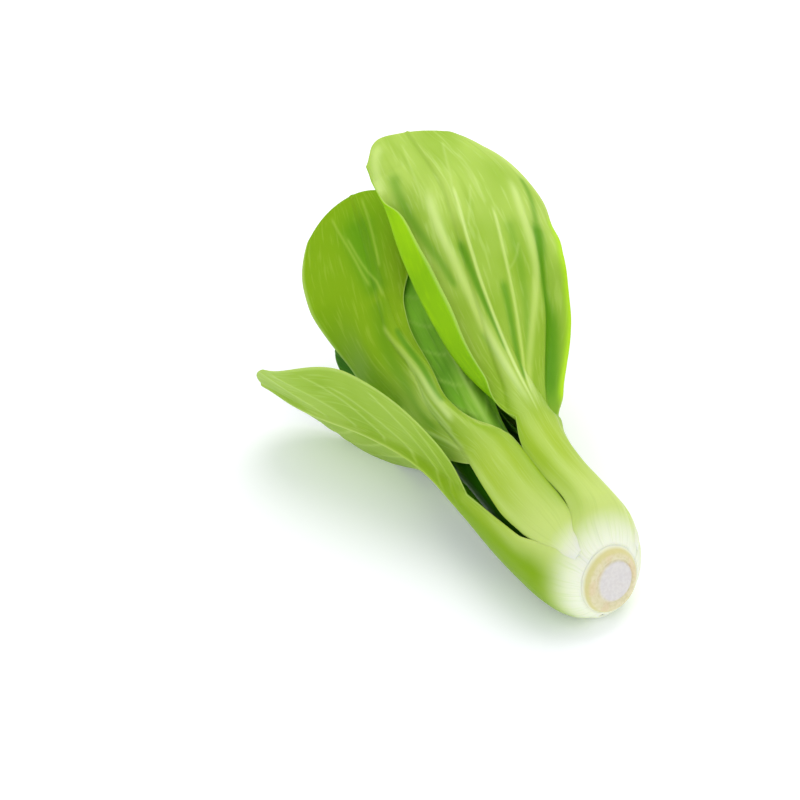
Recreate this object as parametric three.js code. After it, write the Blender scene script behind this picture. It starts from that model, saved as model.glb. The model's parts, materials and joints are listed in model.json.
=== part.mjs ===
// One head of green-stemmed bok choy, as cut, lying on its side.
// Millimetres. +Z is up, +Y runs from the cut end to the leaf tips, and the origin is on the
// surface that the head lies on, under the middle of the head.
//
// Every leaf is one thin curved solid, split where its pale stalk turns into the green blade.
// Six big leaves wrap the bulb in two whorls of three, and seven smaller ones stand inside them.
import * as THREE from 'three';
import { mergeVertices } from 'three/addons/utils/BufferGeometryUtils.js';

// ---- The head: driving dimensions ----
const AXIS_HEIGHT = 24;           // height of the middle of the cut end
const AXIS_RISE = 0.146;          // rise of the head's axis for each millimetre along it
const CUT_SLANT = 0.27;           // how far the knife cut leans back for each millimetre up
const SLANT_FADE = 26;            // distance from the cut over which that lean dies out
const GAP = 0.3;                  // clearance between neighbouring pieces
const EDGE_THICKNESS = 1.5;       // a stalk along its margins
const BLADE_THICKNESS = 1.0;      // a blade between its ribs
const RIB_RELIEF = 0.5;           // side ribs stand this far out of a blade's outer side
const CENTRE_SHIFT = [-13.3, -120.66];  // moves the head's middle over the origin, in X and Y

// radius of the bulb at distances from the cut end: [distance, radius]
const BULB = [[1, 14.4], [4, 19.4], [9, 24.6], [16, 27.8], [26, 29.3], [40, 29.4], [60, 28.6], [100, 28.6]];
const BULB_STATIONS = [6, 12, 20, 32, 46];   // distances at which a leaf's base follows the bulb

// ---- How a leaf's cross sections run ----
const SECTION_STEPS = 24;         // steps along a section, from its middle to a margin
const SQUARE_UNTIL = 20;          // sections stand upright, square to +Y, up to this distance,
const FOLLOW_FROM = 75;           // and square to the leaf itself from this one on
const PROUD_FROM = 30;            // distance at which the midrib starts to stand out of the back
const PROUD_PAST = 10;            // it is fully out this far past the foot of the blade
const PROUD_SHARE = 0.8;          // share of the midrib's depth that then stands out of the back
const FOOT_BLEND = 12;            // the margins thin out this far either side of the foot of the blade
const RIB_ROUNDING = 0.8;         // 0.5 makes the midrib's back a half ellipse, 1 a parabola
const WAVE_REACH = 2.2;           // a high number keeps the waves near the margins
const WAVE_LAG = 1.9;             // phase of the left margin's waves against the right's, in radians
const BASE_CROWDING = 1.15;       // above 1, a stalk's rows stand closer together near the cut

// ---- Mesh density: [rows, columns] ----
const OUTER_LEAVES = 6;
const OUTER_STALK = [12, 8];
const OUTER_BLADE = [16, 12];
const INNER_STALK = [8, 6];
const INNER_BLADE = [10, 8];
const STEM_SIDES = 36;

// ---- Small helpers ----
const radians = THREE.MathUtils.degToRad;
const smooth = (x, low, high) => THREE.MathUtils.smoothstep(x, low, high);
const mix = THREE.MathUtils.lerp;

// value at x on straight runs between [x, value] knots
function along(knots, x) {
  if (x <= knots[0][0]) return knots[0][1];
  for (let i = 1; i < knots.length; i += 1) {
    const [x1, v1] = knots[i];
    if (x <= x1) {
      const [x0, v0] = knots[i - 1];
      return mix(v0, v1, (x - x0) / (x1 - x0));
    }
  }
  return knots[knots.length - 1][1];
}

// value at a fractional index of a list
function atIndex(list, index) {
  const low = Math.min(Math.floor(index), list.length - 2);
  return mix(list[low], list[low + 1], index - low);
}

const evenColumns = (columns) => Array.from({ length: columns + 1 }, (_, j) => (2 * j) / columns - 1);

// height of the head's axis at distance y from the cut
const axisHeight = (y) => AXIS_HEIGHT + AXIS_RISE * y;

const LENGTHWISE = new THREE.Vector3(0, 1, 0);

// point at distance y from the cut, radius r from the head's axis, at angle turn round it;
// turn 0 is to the right (+X) and 90 is up, seen from the cut end
function roundAxis(y, r, turn) {
  const x = r * Math.cos(radians(turn));
  const z = axisHeight(y) + r * Math.sin(radians(turn));
  return new THREE.Vector3(x, y, z);
}

// the part of a leaf's path that follows the bulb at one turn, sunk below its surface by inset
const bulbPath = (turn, inset, from) => [from, ...BULB_STATIONS.filter((y) => y >= from + 2)]
  .map((y) => [y, along(BULB, y) - inset, turn]);

// the knife cut's lean, and the flat spots where the head bears on the surface
function settle(point) {
  const height = point.z - axisHeight(point.y);
  const lean = CUT_SLANT * height * (1 - smooth(point.y, 0, SLANT_FADE));
  return new THREE.Vector3(point.x, point.y + lean, Math.max(point.z, 0));
}

// ---- One leaf as a surface ----
// path        [distance from cut, radius, turn] points down the middle of the leaf's back
// facing      direction that the back faces at each of them, in degrees round the axis
// bladeStart  distance along the leaf of the foot of the blade
// stalk       [distance along leaf, half width left, half width right] of the stalk and midrib
// blade       for each side: half width, widest (share of the blade's length where it is reached),
//             flare (above 1 the blade opens later), taper (how fast it narrows to the tip),
//             crown ([share across, reach of the tip]) and strip (a margin of its own width)
// cup         [distance, turning per millimetre across]: how strongly the sections curl inwards
// depth       [distance, thickness of the middle]
// folds       bends of one side between two shares of its width, by an angle that changes along it
// waves       height, count and phase of the waves along the margins
class Leaf {
  constructor(spec) {
    Object.assign(this, spec);
    const points = spec.path.map(([y, r, turn]) => roundAxis(y, r, turn));
    this.spine = new THREE.CatmullRomCurve3(points, false, 'centripetal');
    this.length = this.spine.getLength();
    this.bladeLength = this.length - spec.bladeStart;
  }

  // frame of the section at a distance along the leaf, carried straight on past its end
  frame(distance) {
    const s = THREE.MathUtils.clamp(distance / this.length, 0, 1);
    const t = this.spine.getUtoTmapping(s);
    const tangent = this.spine.getTangent(t);
    const beyond = Math.max(distance - this.length, 0);
    const origin = this.spine.getPoint(t).addScaledVector(tangent, beyond);
    const forward = LENGTHWISE.clone().lerp(tangent, smooth(distance, SQUARE_UNTIL, FOLLOW_FROM)).normalize();
    const turn = radians(atIndex(this.facing, t * (this.facing.length - 1)));
    const out = new THREE.Vector3(Math.cos(turn), 0, Math.sin(turn));
    out.addScaledVector(forward, -out.dot(forward)).normalize();
    const right = new THREE.Vector3().crossVectors(forward, out);
    return { origin, out, right };
  }

  // half width of the stalk or midrib on the side that u is on (below 0 left, else right)
  ribWidth(distance, u) {
    const column = u < 0 ? 1 : 2;
    return along(this.stalk.map((row) => [row[0], row[column]]), distance);
  }

  // place on the flattened leaf for t (0 to 1 along the stalk) and u (-1 to 1 across)
  stalkPlace(t, u) {
    const distance = t * this.bladeStart;
    const total = this.ribWidth(distance, u);
    return { distance, w: u * total, total };
  }

  // place on the flattened leaf for t (0 to 1 along the blade) and u (-1 to 1 across)
  bladePlace(t, u) {
    const { half, widest, flare, taper = 0.5, crown, strip } = u < 0 ? this.blade.left : this.blade.right;
    let share = Math.abs(u);
    if (strip && share > strip.from) share = strip.from + (share - strip.from) * along(strip.width, t);
    const across = Math.sign(u) * share;
    if (t < widest) {
      const distance = this.bladeStart + t * this.bladeLength;
      const grown = 1 - (1 - (t / widest) ** flare) ** 2;
      const total = mix(this.ribWidth(this.bladeStart, u), half, grown);
      return { distance, w: across * total, total };
    }
    const b = (t - widest) / (1 - widest);
    const tip = crown ? along(crown, Math.abs(u)) : Math.sqrt(1 - u * u / 2);
    const distance = this.bladeStart + (widest + (1 - widest) * b * tip) * this.bladeLength;
    const total = half * (1 - b * b / 2) ** taper;
    return { distance, w: across * total, total };
  }

  // turning of the section away from flat, at w from the middle on one side
  turning(distance, side, w, total) {
    let angle = w * along(this.cup, distance);
    for (const fold of this.folds ?? []) {
      if (fold.side === side) {
        angle += radians(fold.degrees) * along(fold.along, distance) * smooth(w / total, fold.from, fold.to);
      }
    }
    return angle;
  }

  // point of the back and the way it faces, found by walking along the section from its middle
  surface(place, u) {
    const { distance, total } = place;
    const { origin, out, right } = this.frame(distance);
    const side = u < 0 ? -1 : 1;
    const width = Math.abs(place.w);
    const step = width / SECTION_STEPS;
    let across = 0;
    let inward = 0;
    for (let i = 0; i < SECTION_STEPS; i += 1) {
      const angle = this.turning(distance, side, (i + 0.5) * step, total);
      across += Math.cos(angle) * step;
      inward += Math.sin(angle) * step;
    }
    const angle = this.turning(distance, side, width, total);
    const point = origin.clone().addScaledVector(right, side * across).addScaledVector(out, -inward);
    const normal = out.clone().multiplyScalar(Math.cos(angle)).addScaledVector(right, side * Math.sin(angle));
    return { point, normal };
  }

  // thickness at the margins, and what the stalk or midrib adds to it
  thickness(distance, u, w) {
    const x = Math.min(Math.abs(w) / this.ribWidth(distance, u), 1);
    const onBlade = smooth(distance, this.bladeStart - FOOT_BLEND, this.bladeStart + FOOT_BLEND);
    const thin = mix(EDGE_THICKNESS, BLADE_THICKNESS, onBlade);
    const extra = Math.max(along(this.depth, distance) - thin, 0) * (1 - x * x) ** RIB_ROUNDING;
    return { thin, extra };
  }

  // lift of the blade's waves, growing towards its margins
  wave(distance, u) {
    const t = THREE.MathUtils.clamp((distance - this.bladeStart) / this.bladeLength, 0, 1);
    const { height, count, phase } = this.waves;
    const swing = Math.sin(2 * Math.PI * count * t + phase + (u < 0 ? WAVE_LAG : 0));
    return height * swing * Math.abs(u) ** WAVE_REACH * Math.sqrt(Math.sin(Math.PI * t));
  }

  // points of the back and of the inner face at one place
  pair(place, u, relief) {
    const { point, normal } = this.surface(place, u);
    const { thin, extra } = this.thickness(place.distance, u, place.w);
    const proud = PROUD_SHARE * smooth(place.distance, PROUD_FROM, this.bladeStart + PROUD_PAST);
    const lift = this.wave(place.distance, u);
    const outer = point.clone().addScaledVector(normal, lift + extra * proud + relief);
    const inner = point.clone().addScaledVector(normal, lift - thin - extra * (1 - proud));
    return [settle(outer), settle(inner)];
  }
}

// ---- Solids ----
// closed thin solid from its two faces, given as rows of [outer, inner] points
function solidFromPairs(rows) {
  const n = rows.length;
  const m = rows[0].length;
  const vertices = [];
  for (const face of [0, 1]) {
    for (const row of rows) {
      for (const pair of row) vertices.push(...pair[face].toArray());
    }
  }
  const triangles = [];
  const at = (face, i, j) => (face * n + i) * m + j;
  const quad = (a, b, c, d) => triangles.push(a, b, c, a, c, d);
  for (let i = 0; i < n - 1; i += 1) {
    for (let j = 0; j < m - 1; j += 1) {
      quad(at(0, i, j), at(0, i, j + 1), at(0, i + 1, j + 1), at(0, i + 1, j));
      const [a, b, c, d] = [at(1, i, j), at(1, i, j + 1), at(1, i + 1, j + 1), at(1, i + 1, j)];
      triangles.push(a, c, b, a, d, c);
    }
  }
  for (let j = 0; j < m - 1; j += 1) {
    quad(at(0, 0, j + 1), at(0, 0, j), at(1, 0, j), at(1, 0, j + 1));
    quad(at(0, n - 1, j), at(0, n - 1, j + 1), at(1, n - 1, j + 1), at(1, n - 1, j));
  }
  for (let i = 0; i < n - 1; i += 1) {
    quad(at(0, i, 0), at(0, i + 1, 0), at(1, i + 1, 0), at(1, i, 0));
    quad(at(0, i + 1, m - 1), at(0, i, m - 1), at(1, i, m - 1), at(1, i + 1, m - 1));
  }
  const geometry = new THREE.BufferGeometry();
  geometry.setAttribute('position', new THREE.Float32BufferAttribute(vertices, 3));
  geometry.setIndex(triangles);
  return geometry;
}

function stalkGeometry(leaf, [rows, columns]) {
  const last = 1 - GAP / 2 / leaf.bladeStart;
  const grid = [];
  for (let i = 0; i <= rows; i += 1) {
    const t = last * (i / rows) ** BASE_CROWDING;
    grid.push(evenColumns(columns).map((u) => leaf.pair(leaf.stalkPlace(t, u), u, 0)));
  }
  return solidFromPairs(grid);
}

// a blade's even columns carry its side ribs, apart from the margins and the midrib
function bladeGeometry(leaf, [rows, columns]) {
  const first = GAP / 2 / leaf.bladeLength;
  const lines = leaf.columns ?? evenColumns(columns);
  const grid = [];
  for (let i = 0; i <= rows; i += 1) {
    const t = mix(first, 1, i / rows);
    const ribHeight = RIB_RELIEF * Math.sin(Math.PI * t);
    grid.push(lines.map((u, j) => {
      const ribbed = j % 2 === 0 && Math.abs(u) < 0.99 && !leaf.columns;
      return leaf.pair(leaf.bladePlace(t, u), u, ribbed ? ribHeight : 0);
    }));
  }
  return solidFromPairs(grid);
}

// [radius, distance from the cut]: pith, its rim, the pale ring, then the crown that the leaves grow from
const STEM_PROFILE = [[0, -0.9], [7.6, -0.8], [8.8, -0.2], [9.8, -1.1], [12.4, -1.1], [13.4, -0.4], [13.4, 3],
  [13.6, 6], [15.4, 10], [16.6, 13], [13, 15.4], [7, 17], [0, 17.6]];

function stemGeometry() {
  const profile = STEM_PROFILE.map(([radius, y]) => new THREE.Vector2(radius, y));
  const geometry = new THREE.LatheGeometry(profile, STEM_SIDES);
  geometry.deleteAttribute('normal');
  geometry.deleteAttribute('uv');
  const position = geometry.attributes.position;
  const point = new THREE.Vector3();
  for (let i = 0; i < position.count; i += 1) {
    point.fromBufferAttribute(position, i);
    point.z += axisHeight(point.y);
    position.setXYZ(i, ...settle(point).toArray());
  }
  return mergeVertices(geometry);
}

// ---- The leaves ----
const DEPTH_OUTER = [[0, 1.6], [6, 6.4], [30, 7.0], [60, 5.6], [95, 4.2], [140, 2.6], [240, 1.2]];
const DEPTH_MIDDLE = [[0, 1.6], [8, 5.5], [30, 6.0], [60, 5.0], [95, 3.8], [140, 2.4], [240, 1.2]];
const DEPTH_INNER = [[0, 3.0], [30, 4.0], [60, 3.6], [100, 2.4], [180, 1.2]];
const CUP_OUTER = [[0, 1 / 15.5], [6.4, 1 / 20.5], [14, 1 / 25], [34, 1 / 29], [70, 1 / 26], [100, 1 / 50],
  [140, 1 / 125], [260, 1 / 160]];
const CUP_MIDDLE = [[0, 1 / 13], [30, 1 / 15.5], [70, 1 / 22], [100, 1 / 50], [140, 1 / 125], [260, 1 / 160]];
const CUP_UNDER = [[0, 1 / 13], [24, 1 / 15.5], [62, 1 / 22], [92, 1 / 28], [132, 1 / 33], [260, 1 / 50]];
const CUP_INNER = [[0, 1 / 17], [30, 1 / 19], [70, 1 / 18], [100, 1 / 50], [140, 1 / 100]];
const CUP_HEART = [[0, 1 / 12], [40, 1 / 10], [80, 1 / 16], [140, 1 / 25]];

const LEAVES = [
  {
    name: 'leaf_01',   // on top: its left margin is rolled over its back
    path: [...bulbPath(72, 0, 2), [61, 30, 70], [79, 32, 65], [108, 37.6, 57], [144, 51.4, 52],
      [169, 63.6, 51], [198, 77.8, 52], [215, 82.5, 54], [222, 84.2, 55], [229, 85.9, 56]],
    facing: [72, 72, 72, 72, 72, 72, 75, 80, 84, 92, 100, 104, 107, 104, 100, 98],
    bladeStart: 80,
    stalk: [[0, 16.2, 16], [3, 19.4, 19.6], [6, 21, 20.5], [12.5, 23, 20.8], [21, 18.8, 19.4], [33, 15.4, 15.8],
      [50, 14.9, 15], [64, 14.9, 13.4], [71, 14.2, 13.2], [75, 13.4, 14.8], [80, 12.2, 16],
      [81, 11.8, 11], [100, 7, 8], [140, 4, 4], [250, 1.2, 1.2]],
    blade: {
      left: {
        half: 47.5, widest: 0.7, flare: 0.95, taper: 0.2,
        crown: [[0, 1], [0.13, 1.03], [0.26, 1.06], [0.38, 1.07], [0.5, 1.03], [0.6, 0.94], [0.7, 0.86],
          [1, 0.81]],
        strip: {
          from: 0.7,
          width: [[0, 0.2], [0.1, 0.4], [0.21, 0.62], [0.38, 0.8], [0.52, 0.76], [0.67, 0.55], [0.76, 0.35],
            [0.82, 0.1], [1, 0]],
        },
      },
      right: {
        half: 55.5, widest: 0.52, flare: 1.2, taper: 0.75,
        crown: [[0, 1], [0.2, 0.97], [0.4, 0.93], [0.6, 0.88], [0.8, 0.82], [1, 0.72]],
        strip: {
          from: 0.7,
          width: [[0, 1], [0.05, 1.5], [0.1, 1.25], [0.24, 1.04], [0.38, 0.74], [0.55, 0.72], [0.67, 0.96],
            [0.75, 1.06], [1, 1.12]],
        },
      },
    },
    cup: CUP_OUTER,
    depth: DEPTH_OUTER,
    folds: [
      {
        side: -1, from: 0.6, to: 0.7, degrees: -165,
        along: [[84, 0], [104, 1], [210, 1], [226, 0.5], [236, 0.3]],
      },
      {
        side: 1, from: 0.52, to: 0.64, degrees: 55,
        along: [[80, 0.3], [98, 1], [170, 1], [200, 0.5], [236, 0.4]],
      },
      {
        side: 1, from: 0.68, to: 0.8, degrees: -90,
        along: [[80, 0.3], [98, 1], [165, 1], [190, 0]],
      },
    ],
    waves: { height: 1.2, count: 2, phase: 0.4 },
    // columns stand closer together across the rolled margin and the fold beside the other margin
    columns: [-1, -0.9, -0.8, -0.7, -0.667, -0.633, -0.6, -0.5, -0.38, -0.26, -0.13, 0, 0.12, 0.25, 0.38, 0.5,
      0.56, 0.62, 0.7, 0.78, 0.88, 1],
  },
  {
    name: 'leaf_02',   // at the left, leaning out
    path: [...bulbPath(195, 0, 2), [81, 26.8, 193], [106, 28.5, 192], [140, 37, 200], [175, 51, 204],
      [205, 60, 204]],
    facing: [195, 195, 195, 195, 195, 195, 197, 200, 200, 206, 212, 214],
    bladeStart: 76,
    stalk: [[0, 16, 17.8], [3, 19.6, 20.4], [12.5, 24.8, 26.2], [17, 23.4, 24.4], [26, 20, 22], [36, 18, 18.6],
      [50, 17, 16.2], [76, 10, 10], [100, 6, 6], [140, 4, 4], [250, 1.2, 1.2]],
    blade: { left: { half: 39.5, widest: 0.6, flare: 2 }, right: { half: 40, widest: 0.6, flare: 1.2 } },
    cup: CUP_OUTER,
    depth: DEPTH_OUTER,
    waves: { height: 2.4, count: 2, phase: 4.1 },
  },
  {
    name: 'leaf_03',   // at the right, leaning out
    path: [...bulbPath(322, 0, 2), [80, 29, 335], [106, 31.5, 336], [140, 40, 334], [175, 53, 331],
      [202, 61, 330]],
    facing: [322, 322, 322, 322, 322, 322, 330, 336, 338, 336, 333, 331],
    bladeStart: 80,
    stalk: [[0, 14.2, 18], [3, 16.1, 21.8], [6, 18.7, 22], [10, 22, 21.2], [12.5, 22, 20.4], [22, 19.4, 17.6],
      [36, 17, 14.6], [50, 16, 14], [68, 13, 13], [80, 9, 9], [100, 6, 6], [140, 4, 4], [250, 1.2, 1.2]],
    blade: { left: { half: 40, widest: 0.6, flare: 1.3 }, right: { half: 32, widest: 0.6, flare: 1.3 } },
    cup: CUP_OUTER,
    depth: DEPTH_OUTER,
    waves: { height: 2.4, count: 2, phase: 1.1 },
  },
  {
    name: 'leaf_04',   // between 1 and 2, reaching up behind leaf 1
    path: [...bulbPath(131, 0.4, 9), [80, 25.1, 124], [114, 22, 125], [132, 20.5, 116], [162, 20, 107],
      [194, 25.5, 78], [222, 35, 63], [241, 42, 59]],
    facing: [131, 131, 131, 131, 131, 130, 128, 124, 122, 121, 121, 121],
    bladeStart: 70,
    stalk: [[0, 2, 2], [6.6, 5.2, 6], [12, 8, 10], [17, 9.8, 12.6], [25, 12.6, 14.4], [40, 14.1, 15.4],
      [58, 12.6, 15.3], [67, 11.4, 14.6], [74, 10.4, 9.5], [80, 9.5, 5.5], [92, 8, 3.6], [130, 4, 4],
      [250, 1.2, 1.2]],
    blade: {
      left: { half: 39, widest: 0.78, flare: 0.84, taper: 0.35 },
      right: {
        half: 32, widest: 0.75, flare: 1.6,
        strip: {
          from: 0,
          width: [[0, 1], [0.06, 0.44], [0.12, 0.26], [0.2, 0.18], [0.3, 0.2], [0.4, 0.26], [0.5, 0.33],
            [0.6, 0.34], [0.68, 0.52], [0.76, 0.85], [0.85, 1]],
        },
      },
    },
    cup: [[0, 1 / 14], [14, 1 / 17.5], [30, 1 / 19.5], [70, 1 / 23], [100, 1 / 50], [140, 1 / 125],
      [260, 1 / 160]],
    depth: DEPTH_MIDDLE,
    folds: [
      { side: 1, from: 0.6, to: 0.9, degrees: 30, along: [[8, 0], [20, 1], [66, 1], [84, 0]] },
      { side: -1, from: 0.3, to: 0.6, degrees: 35, along: [[92, 0], [118, 1], [160, 1], [190, 0]] },
    ],
    waves: { height: 2, count: 2, phase: 2.4 },
  },
  {
    name: 'leaf_05',   // underneath: the bulb bears on its stalk
    path: [...bulbPath(266, 0.4, 9), [80, 27, 272], [106, 29, 275], [140, 34, 274], [170, 38.5, 272],
      [192, 41, 270]],
    facing: [266, 266, 266, 266, 266, 270, 270, 270, 270, 270],
    bladeStart: 72,
    stalk: [[0, 1.2, 1.2], [6.6, 4, 4], [12, 8, 8], [25, 11, 11.5], [40, 12, 12], [58, 11, 11], [72, 9, 9],
      [92, 6, 6], [132, 4, 4], [250, 1.2, 1.2]],
    blade: { left: { half: 24, widest: 0.6, flare: 2 }, right: { half: 27, widest: 0.6, flare: 1.6 } },
    cup: CUP_UNDER,
    depth: DEPTH_MIDDLE,
    waves: { height: 0.8, count: 2, phase: 3.4 },
  },
  {
    name: 'leaf_06',   // between 1 and 3
    path: [...bulbPath(18, 0.8, 9), [80, 24, 16], [108, 27, 10], [140, 36, 6], [172, 46, 5], [196, 52, 5]],
    facing: [18, 18, 18, 18, 18, 8, -2, -10, -14, -16],
    bladeStart: 72,
    stalk: [[0, 1, 1.2], [6.6, 1.2, 3.6], [12, 3.4, 6], [25, 8.2, 9], [40, 9.5, 9.5], [58, 9, 9], [72, 8, 8],
      [92, 6, 6], [132, 4, 4], [250, 1.2, 1.2]],
    blade: { left: { half: 32, widest: 0.6, flare: 1.6 }, right: { half: 26, widest: 0.6, flare: 1.2 } },
    cup: CUP_MIDDLE,
    depth: DEPTH_MIDDLE,
    waves: { height: 1.5, count: 2, phase: 5.0 },
  },
  {
    name: 'leaf_07',   // inside leaf 2
    path: [...bulbPath(182, 8.4, 16), [80, 16, 190], [115, 13, 204], [150, 14, 212], [180, 18, 213],
      [196, 21, 213]],
    facing: [182, 182, 182, 182, 172, 166, 164, 164, 164],
    bladeStart: 72,
    stalk: [[0, 8, 8], [30, 10, 10], [72, 8, 8], [100, 5, 5], [180, 1.5, 1.5]],
    blade: { left: { half: 18, widest: 0.6, flare: 1.3 }, right: { half: 13, widest: 0.6, flare: 1.3 } },
    cup: CUP_INNER,
    depth: DEPTH_INNER,
    waves: { height: 1.2, count: 1.5, phase: 0 },
  },
  {
    name: 'leaf_08',   // inside leaf 3
    path: [...bulbPath(318, 8.4, 16), [80, 18, 316], [112, 18.5, 313], [142, 24, 313], [170, 32, 313],
      [184, 35.5, 313]],
    facing: [318, 318, 318, 318, 316, 314, 312, 310, 310],
    bladeStart: 68,
    stalk: [[0, 8, 8], [30, 10, 10], [68, 8, 8], [100, 5, 5], [180, 1.5, 1.5]],
    blade: { left: { half: 20, widest: 0.6, flare: 1.3 }, right: { half: 17, widest: 0.6, flare: 1.3 } },
    cup: CUP_INNER,
    depth: DEPTH_INNER,
    waves: { height: 1.2, count: 1.5, phase: 2 },
  },
  {
    name: 'leaf_09',   // under leaves 1 and 4
    path: [...bulbPath(98, 8.4, 16), [75, 19.6, 107], [100, 21.2, 93], [130, 25, 76], [160, 30, 64],
      [187, 36, 53], [204, 41, 49]],
    facing: [98, 98, 98, 98, 108, 111, 112, 112, 112, 112],
    bladeStart: 62,
    stalk: [[0, 8, 8], [30, 10, 10], [62, 8, 7], [100, 5, 5], [180, 1.5, 1.5]],
    blade: { left: { half: 28, widest: 0.6, flare: 1 }, right: { half: 17, widest: 0.6, flare: 2.2 } },
    cup: CUP_INNER,
    depth: DEPTH_INNER,
    waves: { height: 1.2, count: 1.5, phase: 4 },
  },
  {
    name: 'leaf_10',   // inside leaves 2 and 5
    path: [...bulbPath(250, 8.4, 16), [70, 14, 254], [95, 10, 262], [130, 10, 268], [156, 14, 268]],
    facing: [250, 250, 250, 250, 254, 260, 262, 262],
    bladeStart: 58,
    stalk: [[0, 8, 8], [30, 10, 10], [58, 7, 7], [100, 4, 4], [180, 1.5, 1.5]],
    blade: { left: { half: 10, widest: 0.6, flare: 1.3 }, right: { half: 10, widest: 0.6, flare: 1.3 } },
    cup: CUP_INNER,
    depth: DEPTH_INNER,
    waves: { height: 0.8, count: 1.5, phase: 1 },
  },
  {
    name: 'leaf_11',   // inside leaf 6
    path: [...bulbPath(28, 8.4, 16), [75, 16, 22], [108, 14, 14], [134, 15, 8], [150, 18, 6]],
    facing: [28, 28, 28, 28, 18, 6, 2, 0],
    bladeStart: 58,
    stalk: [[0, 8, 8], [30, 9.5, 9.5], [58, 7, 7], [100, 4, 4], [180, 1.5, 1.5]],
    blade: { left: { half: 10, widest: 0.6, flare: 1.3 }, right: { half: 9, widest: 0.6, flare: 1.3 } },
    cup: CUP_INNER,
    depth: DEPTH_INNER,
    waves: { height: 0.8, count: 1.5, phase: 3 },
  },
  {
    name: 'leaf_12',   // the heart's upper leaf
    path: [...bulbPath(140, 15, 18), [60, 9, 140], [80, 6, 125], [104, 4.5, 100], [124, 5, 90], [136, 6, 90]],
    facing: [140, 140, 140, 140, 135, 125, 115, 110, 110],
    bladeStart: 50,
    stalk: [[0, 4.5, 4.5], [30, 6, 6], [50, 5, 5], [100, 2.5, 2.5], [180, 1.5, 1.5]],
    blade: { left: { half: 7, widest: 0.6, flare: 1.3 }, right: { half: 7, widest: 0.6, flare: 1.3 } },
    cup: CUP_HEART,
    depth: DEPTH_INNER,
    waves: { height: 0.4, count: 1.5, phase: 1 },
  },
  {
    name: 'leaf_13',   // the heart's lower leaf
    path: [...bulbPath(300, 15, 18), [60, 8, 300], [80, 4.5, 300], [98, 3, 300], [114, 3, 300]],
    facing: [300, 300, 300, 300, 300, 300, 300, 300],
    bladeStart: 46,
    stalk: [[0, 4.5, 4.5], [30, 5.5, 5.5], [46, 4.5, 4.5], [100, 2.5, 2.5], [180, 1.5, 1.5]],
    blade: { left: { half: 5, widest: 0.6, flare: 1.3 }, right: { half: 5, widest: 0.6, flare: 1.3 } },
    cup: CUP_HEART,
    depth: DEPTH_INNER,
    waves: { height: 0.4, count: 1.5, phase: 2 },
  },
];

// ---- Materials and assembly ----
const STEM_COLOUR = '#ecdfc2';
const OUTER_STALK_COLOUR = '#d3e69c';
const INNER_STALK_COLOUR = '#c2dc7c';
const OUTER_BLADE_COLOUR = '#84b03e';
const INNER_BLADE_COLOUR = '#6fa02a';

function named(name, geometry, colour, roughness) {
  const material = new THREE.MeshStandardMaterial({ color: colour, roughness, metalness: 0 });
  const mesh = new THREE.Mesh(geometry, material);
  mesh.name = name;
  return mesh;
}

const head = new THREE.Group();
head.position.set(...CENTRE_SHIFT, 0);
head.add(named('stem_base', stemGeometry(), STEM_COLOUR, 0.6));
for (const [index, spec] of LEAVES.entries()) {
  const leaf = new Leaf(spec);
  const outer = index < OUTER_LEAVES;
  const stalk = stalkGeometry(leaf, outer ? OUTER_STALK : INNER_STALK);
  const blade = bladeGeometry(leaf, outer ? OUTER_BLADE : INNER_BLADE);
  head.add(named(`${leaf.name}_stalk`, stalk, outer ? OUTER_STALK_COLOUR : INNER_STALK_COLOUR, 0.35));
  head.add(named(`${leaf.name}_blade`, blade, outer ? OUTER_BLADE_COLOUR : INNER_BLADE_COLOUR, 0.5));
}

const part = new THREE.Group();
part.add(head);
export default part;
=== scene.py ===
import json
import math

import bpy
import numpy as np
from mathutils import Matrix, Vector

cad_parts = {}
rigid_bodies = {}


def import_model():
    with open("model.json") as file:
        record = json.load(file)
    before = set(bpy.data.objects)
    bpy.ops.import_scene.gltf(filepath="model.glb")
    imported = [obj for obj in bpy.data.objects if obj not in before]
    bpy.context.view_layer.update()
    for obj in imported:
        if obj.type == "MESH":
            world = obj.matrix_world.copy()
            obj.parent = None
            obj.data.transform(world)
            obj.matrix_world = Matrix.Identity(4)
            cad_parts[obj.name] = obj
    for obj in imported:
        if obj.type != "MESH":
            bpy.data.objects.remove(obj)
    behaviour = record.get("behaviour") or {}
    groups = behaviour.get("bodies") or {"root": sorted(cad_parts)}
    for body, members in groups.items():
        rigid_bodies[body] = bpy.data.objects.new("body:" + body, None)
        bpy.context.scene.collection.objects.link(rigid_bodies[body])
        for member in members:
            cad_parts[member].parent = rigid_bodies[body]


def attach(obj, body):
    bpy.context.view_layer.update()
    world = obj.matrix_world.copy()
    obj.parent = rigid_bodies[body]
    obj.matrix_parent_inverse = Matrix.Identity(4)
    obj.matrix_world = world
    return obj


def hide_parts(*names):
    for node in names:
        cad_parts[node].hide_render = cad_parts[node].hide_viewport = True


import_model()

# One head of green-stemmed bok choy, lying as cut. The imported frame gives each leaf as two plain
# solids, a stalk and a blade. Here each leaf is one fine closed skin on the same form, with its
# veins, furrows and thin margins, and the cut stem has its rings. Lengths are in millimetres
# until a mesh is written, and every mesh is in metres in the frame's own axes.
bl_info = {
    "name": "Bok choy head",
    "version": (1, 0, 0),
    "blender": (4, 5, 0),
    "location": "View3D > Sidebar > Bok choy",
    "description": "Dresses the packed head of bok choy with fine leaves, a cut stem and a studio",
    "category": "Object",
}

MM = 0.001

# ---- The head's own form, as in the part ----
AXIS_HEIGHT = 24.0  # the stem's axis above the surface at the cut
AXIS_RISE = 0.146  # and its rise towards the tips
CUT_SLANT = 0.27  # the knife's lean, which fades along the bulb
SLANT_FADE = 26.0
CENTRE_SHIFT = (-13.3, -120.66)  # where the middle of the cut lies in the frame, in x and y
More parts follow.
